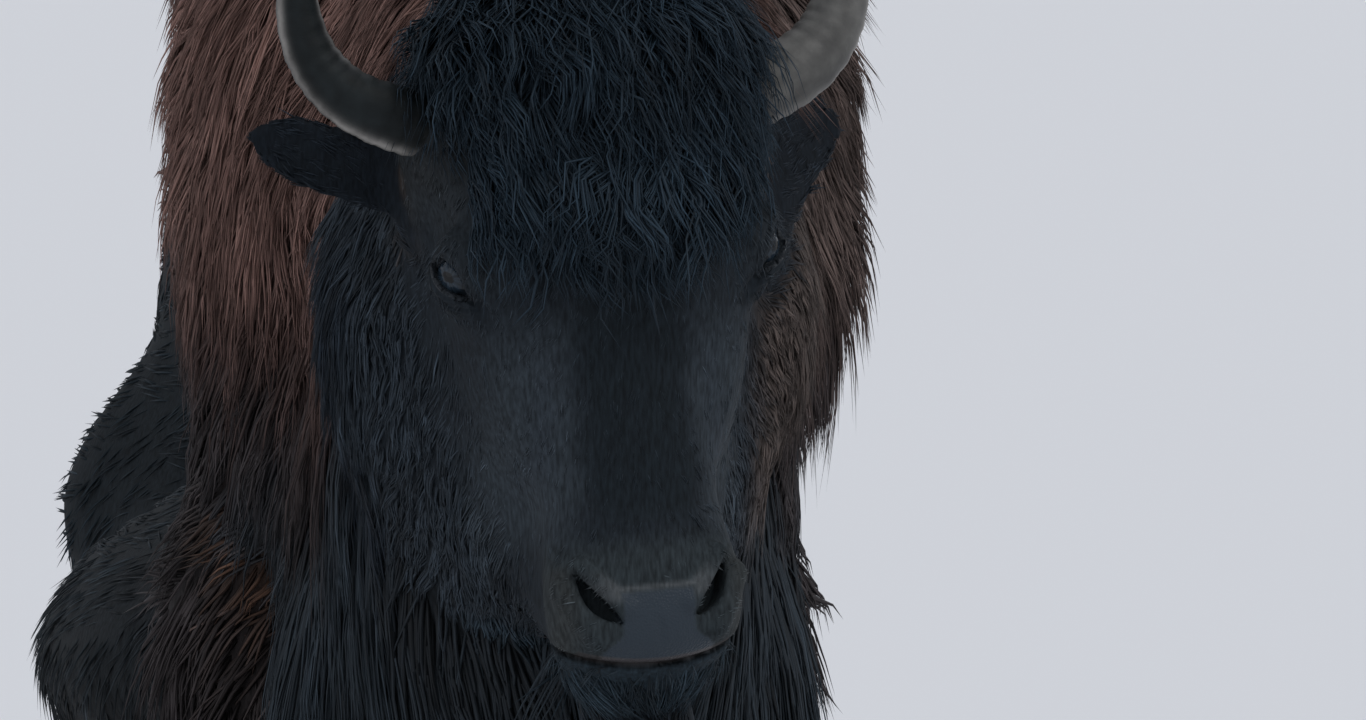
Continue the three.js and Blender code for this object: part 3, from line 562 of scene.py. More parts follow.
spots = [(from_head([[s * 121, 44, 0]])[0], 40.0) for s in (1, -1)] + [(from_head([[0, 10, -270]])[0], 88.0)]
finer(me, spots)
eyes_only = [(c, r * 0.9) for c, r in spots[:2]]
finer(me, eyes_only)
P = np.empty(len(me.vertices) * 3, F)
me.vertices.foreach_get('co', P)
P = P.reshape(-1, 3)
P = settle(P, skin_field, 3).astype(F)
me.vertices.foreach_set('co', P.ravel())
me.update()
note('skin', len(P), len(me.polygons))
SP = P.astype(float)
NV = len(SP)
me.polygons.foreach_set('use_smooth', np.ones(len(me.polygons), bool))
Nrm = np.empty(NV * 3, F)
me.vertex_normals.foreach_get('vector', Nrm)
Nrm = Nrm.reshape(-1, 3).astype(float)
EDG = np.empty(len(me.edges) * 2, np.int32)
me.edges.foreach_get('vertices', EDG)
EDG = EDG.reshape(-1, 2)
DEG = np.bincount(EDG.ravel(), minlength=NV).astype(float)


def soften(v, times):
    v = np.asarray(v, float)
    for _ in range(times):
        s = np.zeros_like(v)
        if v.ndim == 1:
            s += np.bincount(EDG[:, 0], v[EDG[:, 1]], NV) + np.bincount(EDG[:, 1], v[EDG[:, 0]], NV)
            v = 0.4 * v + 0.6 * s / DEG
        else:
            for k in range(v.shape[1]):
                s[:, k] = np.bincount(EDG[:, 0], v[EDG[:, 1], k], NV) + np.bincount(EDG[:, 1], v[EDG[:, 0], k], NV)
            v = 0.4 * v + 0.6 * s / DEG[:, None]
    return v


# which mass each place belongs to
PF = SP.astype(F)
HP = to_head(PF).astype(float)
HF = HP.astype(F)
fields = {
    'body': mass_of(BODY, PF), 'fore': limb(FORE, FORE_STEP, 640, PF), 'hind': limb(HIND, HIND_STEP, 740, PF),
    'chap': limb(CHAPS, FORE_STEP, 640, PF, -IN_CHAP), 'hang': mass_of(HANG, PF, grow=-IN_HANG), 'tail': mass_of(TAIL, PF),
    'head': mass_of(HEAD, HF), 'ruff': mass_of(RUFF, HF, grow=-IN_RUFF), 'mop': mass_of(MOP, HF, grow=-IN_MOP),
    'beard': mass_of(BEARD, HF, grow=-IN_BEARD), 'ear': np.minimum(ear_skin(HF, 1), ear_skin(HF, -1))}
KEYS = list(fields)
LABEL = np.argmin(np.stack([fields[k] for k in KEYS], 1), 1)
IS = {k: (LABEL == i) for i, k in enumerate(KEYS)}
IS['hang'] |= IS['body'] & (SP[:, 2] < 700) & (SP[:, 1] < -180)
X, Y, Z = SP[:, 0], SP[:, 1], SP[:, 2]
HX, HD, HZ = HP[:, 0], HP[:, 1], HP[:, 2]
AX = np.abs(HX)
LIPZ = lip_edge(HP)
SX = np.sign(X)
cape = 1 - smooth(Y - 0.6 * (Z - 980), -260, 60)


def wave(P, scale, seed):
    """smooth unevenness between -1 and 1"""
    r = np.random.default_rng(seed)
    out = np.zeros(len(P))
    for i in range(6):
        k = r.normal(size=3)
        k *= (0.6 + 0.9 * r.random()) / (scale * np.linalg.norm(k))
        out += np.sin(2 * math.pi * (P @ k) + 6.28 * r.random())
    return out / 3.4


# ------------------------------------------------------------------ markings, and painted shade, sheen and highlights
def lay(base, colour, weight):
    return base + (np.array(colour) - base) * np.clip(weight, 0, 1)[:, None]


RUST, BARREL, REAR = (0.156, 0.092, 0.077), (0.020, 0.021, 0.023), (0.013, 0.016, 0.019)
low = 26 * wave(SP, 210, 3)
col = np.empty((NV, 3))
col[:] = RUST
col = lay(col, (0.150, 0.090, 0.070), smooth(Z, 1350, 1540))
col = lay(col, (0.088, 0.064, 0.056), smooth(HX, 90, 150) * (Y < -500))
col = lay(col, (0.036, 0.026, 0.025), smooth(-(Z + low), -1110, -900))
col = lay(col, BARREL, smooth(Y + 1.5 * low - 1.5 * (Z - 860), 0, 260))
col = lay(col, REAR, smooth(Y, 380, 760))
col = lay(col, (0.036, 0.028, 0.026), smooth(Z + low, 930, 1130) * smooth(Y, 60, 260))
col = lay(col, (0.020, 0.016, 0.015), smooth(-Z, -700, -470))
col = lay(col, (0.015, 0.012, 0.011), smooth(-Z, -420, -260))
col = lay(col, (0.020, 0.020, 0.022), smooth(-(Z + low), -900, -800) * (1 - smooth(Y, -560, -430)))
col = lay(col, (0.015, 0.017, 0.020), IS['hang'] * 1.0)
# the dark cheek hair spreads a little on to the neck on the right side
col = lay(col, (0.013, 0.014, 0.016), (1 - smooth(HD + 14 * wave(HP, 70, 21), 292, 346)) * smooth(-HX, 20, 70) * (1 - smooth(HZ, 60, 120)))
col = lay(col, (0.028, 0.020, 0.018), IS['chap'] * 1.0)
col = lay(col, (0.060, 0.031, 0.019), (IS['chap'] | IS['fore']) * smooth(Z, 430, 560) * np.exp(-((Y + 490) / 36) ** 2) * (X < 0))
col = lay(col, (0.016, 0.014, 0.014), IS['tail'] * 1.0)
in_head = IS['head'] | IS['ruff'] | IS['ear'] | IS['mop'] | IS['beard']
hc = np.empty((NV, 3))
hc[:] = (0.021, 0.023, 0.027)
hc = lay(hc, (0.046, 0.048, 0.053), smooth(AX + 8 * wave(HP, 60, 8), 36, 60) * (1 - smooth(AX, 88, 116)) * smooth(-HZ, 10, 90) * (1 - smooth(-HZ, 190, 240)))
hc = lay(hc, (0.046, 0.048, 0.055), np.exp(-((AX - 62 + 0.06 * HZ) / 9) ** 2) * smooth(-HZ, 50, 90) * (1 - smooth(-HZ, 150, 190)) * 0.8)
hc = lay(hc, (0.014, 0.017, 0.020), (1 - smooth(AX + 6 * wave(HP, 50, 18), 30, 52)) * smooth(-HZ, 0, 40) * (1 - smooth(-HZ, 185, 218)))
hc = lay(hc, (0.030, 0.028, 0.028), smooth(HZ, 20, 80) * smooth(AX, 88, 112) * (1 - smooth(HD, 120, 190)))
hc = lay(hc, (0.032, 0.033, 0.036), (1 - smooth(np.hypot(AX - 108, HZ - 30), 34, 62)) * (HD < 110) * 0.7)
ring = smooth(-HZ, 206, 232) * (1 - smooth(HD, 34, 74))
hc = lay(hc, (0.039, 0.041, 0.042), ring)
hc = lay(hc, (0.050, 0.046, 0.043), ring * np.exp(-((AX - 70) / 10.0) ** 2) * smooth(-HZ, 226, 240))
hc = lay(hc, (0.009, 0.011, 0.015), smooth(HD + 12 * wave(HP, 80, 9) + 0.35 * np.minimum(HZ, 0), 195, 250) * (1 - smooth(HZ, 30, 90)))
chin = smooth(LIPZ - HZ, -2, 5) * smooth(-HZ, 250, 280)
hc = lay(hc, (0.025, 0.033, 0.040), chin)
# tan stripe on the side of the head, behind the eye
stripe = np.exp(-((HD - 141 - 5 * np.sin(HZ * 0.05)) / 12.0) ** 2) * smooth(HZ, 12, 36) * (1 - smooth(HZ, 72, 96)) * smooth(AX, 96, 108)
hc = lay(hc, (0.150, 0.080, 0.050), stripe)
hc = lay(hc, (0.0085, 0.0125, 0.0165), IS['mop'] * 1.0)
hc = lay(hc, (0.010, 0.012, 0.015), IS['beard'] * 1.0)
hc = lay(hc, (0.013, 0.015, 0.019), IS['ear'] * 1.0)
# a blue tint on the dark hair of the head: painted sheen, the sky's cool light on black hair
hc *= (1.1, 1.36, 1.5)
# on the left side the brown of the neck comes up to the eye
hc = lay(hc, (0.072, 0.054, 0.046), smooth(HX, 112, 150) * smooth(HD, 100, 160) * smooth(HZ + 10 * wave(HP, 60, 22), -250, -150) * (1 - IS['ear']) * 0.9)
# the same blue tint on the dark hair of the body: painted sheen of the sky's light
col *= 1 + (1 - smooth(col[:, 0], 0.025, 0.06))[:, None] * np.array([0.05, 0.28, 0.38])
hm = soften(in_head.astype(float), 3)
col = col + (hc - col) * hm[:, None]
col = soften(col, 2)
# bare skin: nose pad with its two wings, lip rim, lids; a painted highlight along the top edge of the pad and the rims
# of the nostrils, painted shade inside the nostrils and along the mouth line
M = HP.copy()
M[:, 0] = AX
edge_x = 28 + 16 * smooth(-HZ, 288, 304)
arm = cone(M, (55, 3, -233, 2.2, 27, -9, -267, 4.6, 1))
below = LIPZ - HZ
pad_d = np.minimum(arm, np.maximum(np.maximum(AX - edge_x, HZ + 257), HD - 24))
pad = (1 - smooth(pad_d, -1, 2.5)) * (1 - smooth(below, -3, 1))
# a painted highlight: a thin light line along the nose pad's top edge and the lower rims of the nostrils
pad_highlight = np.exp(-((pad_d - 4.0) / 2.3) ** 2) * smooth(HZ, -268, -258) * smooth(-HZ, 232, 258) * (1 - smooth(AX, 56, 66))
rim = np.maximum(np.abs(below + 3.0) - 2.6, AX - 60)
lip_rim = (1 - smooth(rim, 0, 2)) * (HD < 40)
hole = cone(M, (59, 5, -238, 3, 35, -5, -275, 8, 1))
pad *= smooth(-HZ, 200, 225)
q = M - np.array(EYE)
eo, ea, eb = q @ E_OUT, q @ E_ALONG, q @ E_ACROSS
er = np.linalg.norm(q, axis=1)
slit_d = np.abs(eb) - SLIT_H * (1 - (ea / SLIT_L) ** 2)
lid = (1 - smooth(slit_d, 0.8, 3.0)) * smooth(eo, 0, 5) * (1 - smooth(np.abs(ea), 26, 30)) * (1 - smooth(er, 27, 31))
bare = np.clip(pad + lid + 0.4 * pad_highlight, 0, 1)
col = lay(col, (0.030, 0.040, 0.052), pad * 0.95)
# the painted highlight along the pad's top edge and the nostril rims
col = lay(col, (0.150, 0.155, 0.160), pad_highlight * 0.5)
col = lay(col, (0.075, 0.064, 0.062), lip_rim * 0.7)
# painted shade: the insides of the nostrils are made near black
nostril_shade = smooth(HD - (3 + 0.0022 * np.maximum(AX - 20, 0) ** 2), 2, 9) * (1 - smooth(hole, 1, 7))
col = lay(col, (0.006, 0.005, 0.005), nostril_shade * smooth(-HZ, 215, 230))
pad = pad * (1 - nostril_shade)
col = lay(col, (0.022, 0.026, 0.031), lid)
# painted shade along the mouth line, between lip and chin
mouth_line_shade = np.exp(-((HZ - LIPZ) / 3.0) ** 2) * (AX < 72) * (HD < 115) * (HD > -40)
col = lay(col, (0.012, 0.010, 0.010), mouth_line_shade * 0.9)
# where hair grows the skin's colour is halved: painted shade under the coat; bare skin keeps its full colour
attribute(me, 'Col', col * (0.5 + 0.5 * bare)[:, None])
attribute(me, 'Bare', soften(bare, 1), 'FLOAT')


# ------------------------------------------------------------------ materials
def tree(name):
    m = bpy.data.materials.new(name)
    m.use_nodes = True
    nt = m.node_tree
    nt.nodes.clear()
    out = nt.nodes.new('ShaderNodeOutputMaterial')
    bs = nt.nodes.new('ShaderNodeBsdfPrincipled')
    nt.links.new(bs.outputs[0], out.inputs[0])
    return m, nt, bs


def node(nt, kind, **kw):
    n = nt.nodes.new(kind)
    for k, v in kw.items():
        setattr(n, k, v)
    return n


def skin_material():
    m, nt, bs = tree('skin_fur')
    L = nt.links.new
    at = node(nt, 'ShaderNodeAttribute', attribute_name='Col')
    ba = node(nt, 'ShaderNodeAttribute', attribute_name='Bare')
    tc = node(nt, 'ShaderNodeTexCoord')
    mp = node(nt, 'ShaderNodeMapping')
    mp.inputs['Scale'].default_value = (420, 260, 85)
    L(tc.outputs['Object'], mp.inputs[0])
    fur = node(nt, 'ShaderNodeTexNoise')
    fur.inputs['Scale'].default_value = 1.0
    fur.inputs['Detail'].default_value = 4
    L(mp.outputs[0], fur.inputs['Vector'])
    peb = node(nt, 'ShaderNodeTexVoronoi')
    peb.inputs['Scale'].default_value = 520
    L(tc.outputs['Object'], peb.inputs['Vector'])
    ramp = node(nt, 'ShaderNodeMapRange')
    ramp.inputs['From Min'].default_value = 0.3
    ramp.inputs['From Max'].default_value = 0.7
    ramp.inputs['To Min'].default_value = 0.55
    ramp.inputs['To Max'].default_value = 1.5
    L(fur.outputs['Fac'], ramp.inputs['Value'])
    one = node(nt, 'ShaderNodeMix', data_type='FLOAT')
    L(ba.outputs['Fac'], one.inputs[0])
    L(ramp.outputs[0], one.inputs[2])
    one.inputs[3].default_value = 1.0
    mul = node(nt, 'ShaderNodeVectorMath', operation='SCALE')
    L(at.outputs['Color'], mul.inputs[0])
    L(one.outputs[0], mul.inputs['Scale'])
    L(mul.outputs[0], bs.inputs['Base Color'])
    rg = node(nt, 'ShaderNodeMapRange')
    rg.inputs['To Min'].default_value = 0.8
    rg.inputs['To Max'].default_value = 0.34
    L(ba.outputs['Fac'], rg.inputs['Value'])
    L(rg.outputs[0], bs.inputs['Roughness'])
    h = node(nt, 'ShaderNodeMix', data_type='FLOAT')
    L(ba.outputs['Fac'], h.inputs[0])
    L(fur.outputs['Fac'], h.inputs[2])
    L(peb.outputs['Distance'], h.inputs[3])
    bump = node(nt, 'ShaderNodeBump')
    bump.inputs['Strength'].default_value = 0.5
    bump.inputs['Distance'].default_value = 0.0014
    L(h.outputs[0], bump.inputs['Height'])
    L(bump.outputs[0], bs.inputs['Normal'])
    bs.inputs['Specular IOR Level'].default_value = 0.14
    return m


def coat_material(name, rough, spec, fine=1.0):
    """each lock is streaked along its length, as if made of many hairs"""
    m, nt, bs = tree(name)
    L = nt.links.new
    at = node(nt, 'ShaderNodeAttribute', attribute_name='Col')
    st = node(nt, 'ShaderNodeAttribute', attribute_name='Strand')
    no = node(nt, 'ShaderNodeTexNoise')
    no.inputs['Scale'].default_value = fine
    no.inputs['Detail'].default_value = 2
    L(st.outputs['Vector'], no.inputs['Vector'])
    mr = node(nt, 'ShaderNodeMapRange')
    mr.inputs['From Min'].default_value, mr.inputs['From Max'].default_value = 0.32, 0.68
    mr.inputs['To Min'].default_value, mr.inputs['To Max'].default_value = 0.45, 1.6
    L(no.outputs['Fac'], mr.inputs['Value'])
    mul = node(nt, 'ShaderNodeVectorMath', operation='SCALE')
    L(at.outputs['Color'], mul.inputs[0])
    L(mr.outputs[0], mul.inputs['Scale'])
    L(mul.outputs[0], bs.inputs['Base Color'])
    bu = node(nt, 'ShaderNodeBump')
    bu.inputs['Strength'].default_value = 0.6
    bu.inputs['Distance'].default_value = 0.0012
    L(no.outputs['Fac'], bu.inputs['Height'])
    L(bu.outputs[0], bs.inputs['Normal'])
    bs.inputs['Roughness'].default_value = rough
    bs.inputs['Specular IOR Level'].default_value = spec
    return m


me.materials.append(skin_material())
FLESH = ['head', 'neck', 'trunk', 'mop', 'beard', 'ear_left', 'ear_right', 'foreleg_left', 'foreleg_right', 'hindleg_left',
         'hindleg_right', 'tail', 'tail_tuft']
skin = add('skin', me)
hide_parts(*FLESH)
skin.data.transform(Matrix.Translation(Vector(SHIFT)))
skin.data.transform(Matrix.Scale(0.001, 4))
note('markings')

# ------------------------------------------------------------------ how the coat lies
lie = np.zeros((NV, 3))
front = 1 - smooth(Y, -700, -300)
lie[:, 0] = SX * 0.22 * smooth(np.abs(X), 5, 60) * smooth(Z, 1000, 1300)
lie[:, 1] = 0.9 - 0.55 * front
lie[:, 2] = -0.45 - 0.5 * front
legs = smooth(-Z, -760, -600)
lie = lie * (1 - legs)[:, None] + legs[:, None] * np.array([0.0, 0.12, -1.0])
for k, v in (('hang', (0.0, 0.05, -1.0)), ('chap', (0.0, 0.22, -1.0)), ('tail', (0.0, 0.05, -1.0))):
    lie[IS[k]] = v
hl = np.stack([np.sign(HX) * (0.10 + 0.35 * smooth(AX, 10, 80)), 0.10 + 0.75 * smooth(HD, 70, 160), -1.0 + 0.35 * smooth(HD, 120, 200)], 1)
hl[IS['ruff']] = np.stack([np.sign(HX) * 0.05, np.full(NV, 0.42), np.full(NV, -0.9)], 1)[IS['ruff']]
hl[IS['beard']] = (0.02, 0.06, -1.0)
mopd = np.stack([np.sign(HX) * 0.55 * smooth(AX, 10, 110), -0.35 - 0.3 * smooth(HZ, 140, 220), -0.95 + 0.55 * smooth(HZ, 150, 250)], 1)
hl[IS['mop']] = mopd[IS['mop']]
for side in (1, -1):
    ev = unit(EAR_TIP[side] - EAR_BASE)
    hl[IS['ear'] & (HX * side > 0)] = (side * ev[0], ev[1], ev[2] - 0.12)
muz = smooth(-HZ, 225, 250) * IS['head']
hl = hl * (1 - muz)[:, None] + muz[:, None] * np.stack([np.sign(HX) * 0.8, np.full(NV, 0.5), np.full(NV, -0.45)], 1)
below_lip = smooth(LIPZ - HZ, 3, 9) * smooth(-HZ, 250, 280) * IS['head']
hl = hl * (1 - below_lip)[:, None] + below_lip[:, None] * np.array([0.0, 0.12, -1.0])
lie = np.where(in_head[:, None], hl @ R_HEAD.T, lie)
lie = soften(lie, 6)
tw = 0.35 * wave(SP, 190, 11) + 0.22 * wave(SP, 70, 12)
lie = lie - Nrm * np.sum(lie * Nrm, 1)[:, None]
lie /= np.linalg.norm(lie, axis=1)[:, None] + 1e-9
side_v = np.cross(Nrm, lie)
lie = lie * np.cos(tw)[:, None] + side_v * np.sin(tw)[:, None]

# length, width and how far the hair stands off, by place
LEN = np.full(NV, 40.0)
LEN = LEN + (88 - LEN) * cape
LEN = LEN + (34 - LEN) * smooth(Y, 420, 800)
LEN = LEN + (18 - LEN) * smooth(-Z, -560, -400)
WID = np.full(NV, 3.6)
WID = WID + (4.6 - WID) * cape
WID = WID + (2.2 - WID) * smooth(-Z, -560, -400)
OFF = np.full(NV, 0.26)
OFF = OFF + (0.44 - OFF) * cape
hlen = 13 + 22 * smooth(HD, 80, 180)
hlen = hlen + (9 - hlen) * smooth(-HZ, 200, 236) * (1 - smooth(HD, 60, 110))
LEN = np.where(in_head, hlen, LEN)
WID = np.where(in_head, 1.7 + 1.2 * smooth(HD, 90, 180), WID)
OFF = np.where(in_head, 0.25, OFF)
for k, l, w, o in (('hang', 140, 5.0, 0.26), ('chap', 70, 4.0, 0.34), ('ruff', 60, 3.6, 0.30), ('mop', 84, 4.6, 0.42),
                   ('beard', 115, 4.6, 0.26), ('ear', 17, 2.0, 0.25), ('tail', 28, 2.6, 0.25)):
    LEN[IS[k]], WID[IS[k]], OFF[IS[k]] = l, w, o
LEN, WID, OFF = soften(LEN, 5), soften(WID, 5), soften(OFF, 4)
LEN = np.where(IS['ruff'], 22 + (LEN - 22) * smooth(HD + 0.35 * np.minimum(HZ, 0), 160, 250), LEN)
chin = smooth(LIPZ - HZ, 3, 9) * smooth(-HZ, 250, 280) * IS['head']
LEN, OFF = LEN + (46 - LEN) * chin, OFF + (0.34 - OFF) * chin
# shorter hair where the skin faces the ground
LEN = np.where(IS['hang'] | IS['body'] | IS['fore'], LEN * (1 - 0.62 * smooth(-Nrm[:, 2], 0.45, 0.85)), LEN)
# the mop's locks stop at its V-shaped edge
edge = -24 + 0.0049 * HX ** 2
for side in (1, -1):
    ev = EAR_TIP[side] - EAR_BASE
    along = ((HP * np.array([side, 1, 1])) - EAR_BASE) @ ev / (ev @ ev)
    LEN = np.where(IS['ear'] & (HX * side > 0), LEN * (1 - 0.6 * smooth(along, 0.72, 0.98)), LEN)
LEN = np.where(IS['mop'], np.minimum(LEN, np.clip(0.95 * (HZ - edge) + 6, 12, 90)), LEN)

POLY = len(me.polygons)
loops = np.empty(len(me.loops), np.int32)
me.loops.foreach_get('vertex_index', loops)
lt = np.empty(POLY, np.int32)
me.polygons.foreach_get('loop_total', lt)
ls = np.empty(POLY, np.int32)
me.polygons.foreach_get('loop_start', ls)
TRI = np.concatenate([np.stack([loops[ls], loops[ls + 1], loops[ls + 2]], 1)] +
                     [np.stack([loops[ls[lt > k]], loops[ls[lt > k] + k - 1], loops[ls[lt > k] + k]], 1) for k in range(3, int(lt.max()))])
A3, B3, C3 = SP[TRI[:, 0]], SP[TRI[:, 1]], SP[TRI[:, 2]]
AREA = np.linalg.norm(np.cross(B3 - A3, C3 - A3), axis=1) / 2
MIDT = (A3 + B3 + C3) / 3
order = np.lexsort((np.floor(MIDT[:, 0] / 20), np.floor(MIDT[:, 1] / 20), np.floor(MIDT[:, 2] / 20)))


def roots(weight, count, seed):
    """places spread evenly over the skin by weight per vertex: barycentric samples"""
    r = np.random.default_rng(seed)
    w = (AREA * weight[TRI].mean(1))[order]
    c = np.cumsum(w)
    at = (np.arange(count) + r.random(count)) / count * c[-1]
    t = order[np.minimum(np.searchsorted(c, at), len(order) - 1)]
    u = np.sqrt(r.random(count))
    v = r.random(count)
    bc = np.stack([1 - u, u * (1 - v), u * v], 1)
    return t, bc


def pick(data, t, bc):
    d = data[TRI[t]]
    return np.einsum('nk,nk...->n...', bc, d) if data.ndim == 1 else np.einsum('nk,nkc->nc', bc, d)


# coarse copy of the skin, which the coat's map is laid out on
cx, cy, cz = ladder([(-450, 450, 26)]), ladder([(-1216, -800, 18), (-800, 1200, 34)]), ladder([(40, 640, 30), (640, 1300, 20), (1300, 1620, 30)])
CP, CQ = extract(cx, cy, cz, skin_field)
note('coarse', len(CP), len(CQ))
C_TREE = BVHTree.FromPolygons([tuple(p) for p in CP], [tuple(int(i) for i in q) for q in CQ])


def laid_out(P):
    """for each root, a place on an unwrap of the part of the skin that the roots cover"""
    near = np.array([(C_TREE.find_nearest(p))[2] or 0 for p in P.tolist()], np.int64)
    used = np.unique(near)
    q = CQ[used]
    vs, inv = np.unique(q.ravel(), return_inverse=True)
    me2 = mesh_of('lay', CP[vs], inv.reshape(-1, 4))
    ob = bpy.data.objects.new('lay', me2)
    bpy.context.scene.collection.objects.link(ob)
    bpy.ops.object.select_all(action='DESELECT')
    ob.select_set(True)
    bpy.context.view_layer.objects.active = ob
    me2.uv_layers.new(name='u')
    bpy.ops.object.mode_set(mode='EDIT')
    bpy.ops.mesh.select_all(action='SELECT')
    bpy.ops.uv.smart_project(angle_limit=math.radians(66), island_margin=0.006)
    bpy.ops.object.mode_set(mode='OBJECT')
    uv = np.empty(len(me2.loops) * 2, F)
    me2.uv_layers[0].data.foreach_get('uv', uv)
    uv = uv.reshape(-1, 2)
    st = np.empty(len(me2.polygons), np.int32)
    me2.polygons.foreach_get('loop_start', st)
    corners = np.stack([uv[st + k] for k in range(4)], 1)
    pts = CP[q]
    where = np.searchsorted(used, near)
    c4, p4 = corners[where], pts[where]
    d = 1 / (np.linalg.norm(p4 - P[:, None, :], axis=2) ** 2 + 1e-3)
    w = d / d.sum(1)[:, None]
    bpy.data.objects.remove(ob)
    return np.einsum('nk,nkc->nc', w, c4)


GRAV = np.array([0.0, 0.0, -1.0])
TOTAL = [0]


def coat(name, weight, count, S, seed, curl=0.0, turns=1.0, droop=0.0, long=1.0, wide=1.0, off=1.0, tone=1.0, tips=1.25,
         spread=0.2, mat=None, flat=0.42, foot=0.55, vary=0.22, group=7, draw=0.6, hang=0.0):
    """tufts over the weighted part of the skin; each group of them leans to one tip, so that they gather in locks"""
    r = np.random.default_rng(seed)
    t, bc = roots(weight, count, seed)
    P = pick(SP, t, bc)
    N = pick(Nrm, t, bc)
    N /= np.linalg.norm(N, axis=1)[:, None]
    D = pick(lie, t, bc)
    D = D - N * np.sum(D * N, 1)[:, None]
    D /= np.linalg.norm(D, axis=1)[:, None] + 1e-9
    B = np.cross(N, D)
    a = r.normal(0, spread, count)
    D = D * np.cos(a)[:, None] + B * np.sin(a)[:, None]
    L = pick(LEN, t, bc) * long
    ph = 6.283 * r.random(count)
    f = turns * (0.75 + 0.5 * r.random(count))
    own = np.exp(r.normal(0, vary, count))
    shade0 = np.exp(r.normal(0, 0.13, count))
    O = pick(OFF, t, bc) * off * (0.55 + 0.9 * r.random(count))
    # gather in groups
    seeds = r.permutation(count)[:max(1, count // group)]
    kd = KDTree(len(seeds))
    for i, k in enumerate(seeds):
        kd.insert(P[k], i)
    kd.balance()
    g = seeds[np.array([kd.find(p)[1] for p in P.tolist()])]
    D = 0.35 * D + 0.65 * D[g] + GRAV * hang
    if hang < 0.5:
        D = D - N * np.sum(D * N, 1)[:, None]
    D /= np.linalg.norm(D, axis=1)[:, None] + 1e-9
    B = np.cross(N, D)
    B /= np.linalg.norm(B, axis=1)[:, None] + 1e-9
    ph, f = ph[g] + 0.5 * (r.random(count) - 0.5), f[g]
    O = 0.4 * O + 0.6 * O[g]
    L = L * (0.45 * own + 0.55 * own[g])
    gather = P[g] - P
    gather -= N * np.sum(gather * N, 1)[:, None]
    far = np.linalg.norm(gather, axis=1)
    gather *= np.minimum(1, 0.45 * L / (far + 1e-6))[:, None]
    W = pick(WID, t, bc) * wide * np.exp(r.normal(0, 0.2, count))
    base = pick(col, t, bc) * tone * (shade0 * shade0[g] ** 1.3)[:, None]
    base *= 1 + 0.2 * wave(P, 90, seed + 5)[:, None]
    base = np.clip(base, 0.003, 1)
    A = curl * 5.0 * (0.6 + 0.8 * r.random(count))
    A = 0.4 * A + 0.6 * A[g]
    ts = np.linspace(0, 1, S + 1)
    line = np.empty((count, S + 1, 3))
    up = np.sin(O)
    for j, s in enumerate(ts):
        p = P - N * 1.5 + D * (L * np.cos(O) * s)[:, None] + N * (L * up * (s - 0.55 * s * s))[:, None] + GRAV * (droop * L * s * s)[:, None]
        p = p + gather * (draw * s ** 0.9)
        ramp = min(1.0, s * 2.0)
        p = p + B * (A * ramp * np.sin(6.283 * f * s + ph))[:, None] + N * (0.5 * A * ramp * (1 + np.cos(6.283 * f * s + ph)))[:, None]
        line[:, j] = p
    V = np.empty((count, 3 * S + 1, 3))
    for j in range(S):
        tg = line[:, j + 1] - line[:, max(j - 1, 0)]
        tg /= np.linalg.norm(tg, axis=1)[:, None] + 1e-9
        sd = np.cross(N, tg)
        sd /= np.linalg.norm(sd, axis=1)[:, None] + 1e-9
        nn = np.cross(tg, sd)
        w = W * (0.72 + 0.28 * math.sin(math.pi * min(1, ts[j] * 1.7))) * (1 - ts[j]) ** 0.55
        V[:, 3 * j] = line[:, j] - sd * (w / 2)[:, None]
        V[:, 3 * j + 1] = line[:, j] + sd * (w / 2)[:, None]
        V[:, 3 * j + 2] = line[:, j] + nn * (w * flat)[:, None]
    V[:, -1] = line[:, -1]
    n1 = 3 * S + 1
    f1 = [(0, 1, 2)]
    for j in range(S - 1):
        a0, b0 = 3 * j, 3 * j + 3
        for x, y in ((0, 1), (1, 2), (2, 0)):
            f1 += [(a0 + y, a0 + x, b0 + x), (a0 + y, b0 + x, b0 + y)]
    e0 = 3 * (S - 1)
    for x, y in ((0, 1), (1, 2), (2, 0)):
        f1.append((e0 + y, e0 + x, 3 * S))
    f1 = np.array(f1)
    faces = (f1[None] + (np.arange(count) * n1)[:, None, None]).reshape(-1, 3)
    cme = mesh_of(name, world(V.reshape(-1, 3)), faces)
    # each tuft is darker at the root than at the tip: painted shade deep in the coat
    shade = np.empty((count, n1, 3))
    strand = np.empty((count, n1, 3), F)
    strand[:, :, 2] = (r.random(count) * 50)[:, None]
    for j in range(S):
        shade[:, 3 * j:3 * j + 3] = (base * (foot + (tips - foot) * ts[j] ** 0.8))[:, None, :]
        strand[:, 3 * j, 0], strand[:, 3 * j + 1, 0], strand[:, 3 * j + 2, 0] = 0.0, 5.0, 2.5
        strand[:, 3 * j:3 * j + 3, 1] = (ts[j] * L / 45)[:, None]
    shade[:, -1] = base * tips
    strand[:, -1, 0], strand[:, -1, 1] = 2.5, L / 45
    attribute(cme, 'Col', shade.reshape(-1, 3))
    at = cme.attributes.new('Strand', 'FLOAT_VECTOR', 'POINT')
    at.data.foreach_set('vector', strand.ravel())
    uv0 = laid_out(P)
    local = np.empty((n1, 2))
    for j in range(S):
        for k in range(3):
            local[3 * j + k] = ((k - 1) * 0.0014, (ts[j] - 0.5) * 0.003)
    local[-1] = (0, 0.0015)
    uv = (np.clip(uv0, 0.002, 0.998)[:, None, :] + local[None]).reshape(-1, 2)
    layer = cme.uv_layers.new(name='OFBake')
    layer.data.foreach_set('uv', uv[faces.ravel()].astype(F).ravel())
    cme.materials.append(mat)
    TOTAL[0] += len(faces)
    note(name, count, 'tufts', len(faces), 'triangles', 'all', TOTAL[0])
    return add(name, cme)


dark_hair = coat_material('hair_dark', 0.6, 0.2)
wool = coat_material('hair_wool', 0.72, 0.15)
short_hair = coat_material('hair_short', 0.65, 0.2)

free = 1 - bare
no_eye = smooth(slit_d, 3.0, 7.0) * 1.0
no_eye = np.where((er < 34) & (eo > 0), no_eye, 1.0)
no_mouth = 1 - mouth_line_shade
face_w = (IS['head'] & (HD < 175)) * free * no_eye * no_mouth * (bare < 0.3) * (1 - 0.6 * nostril_shade)

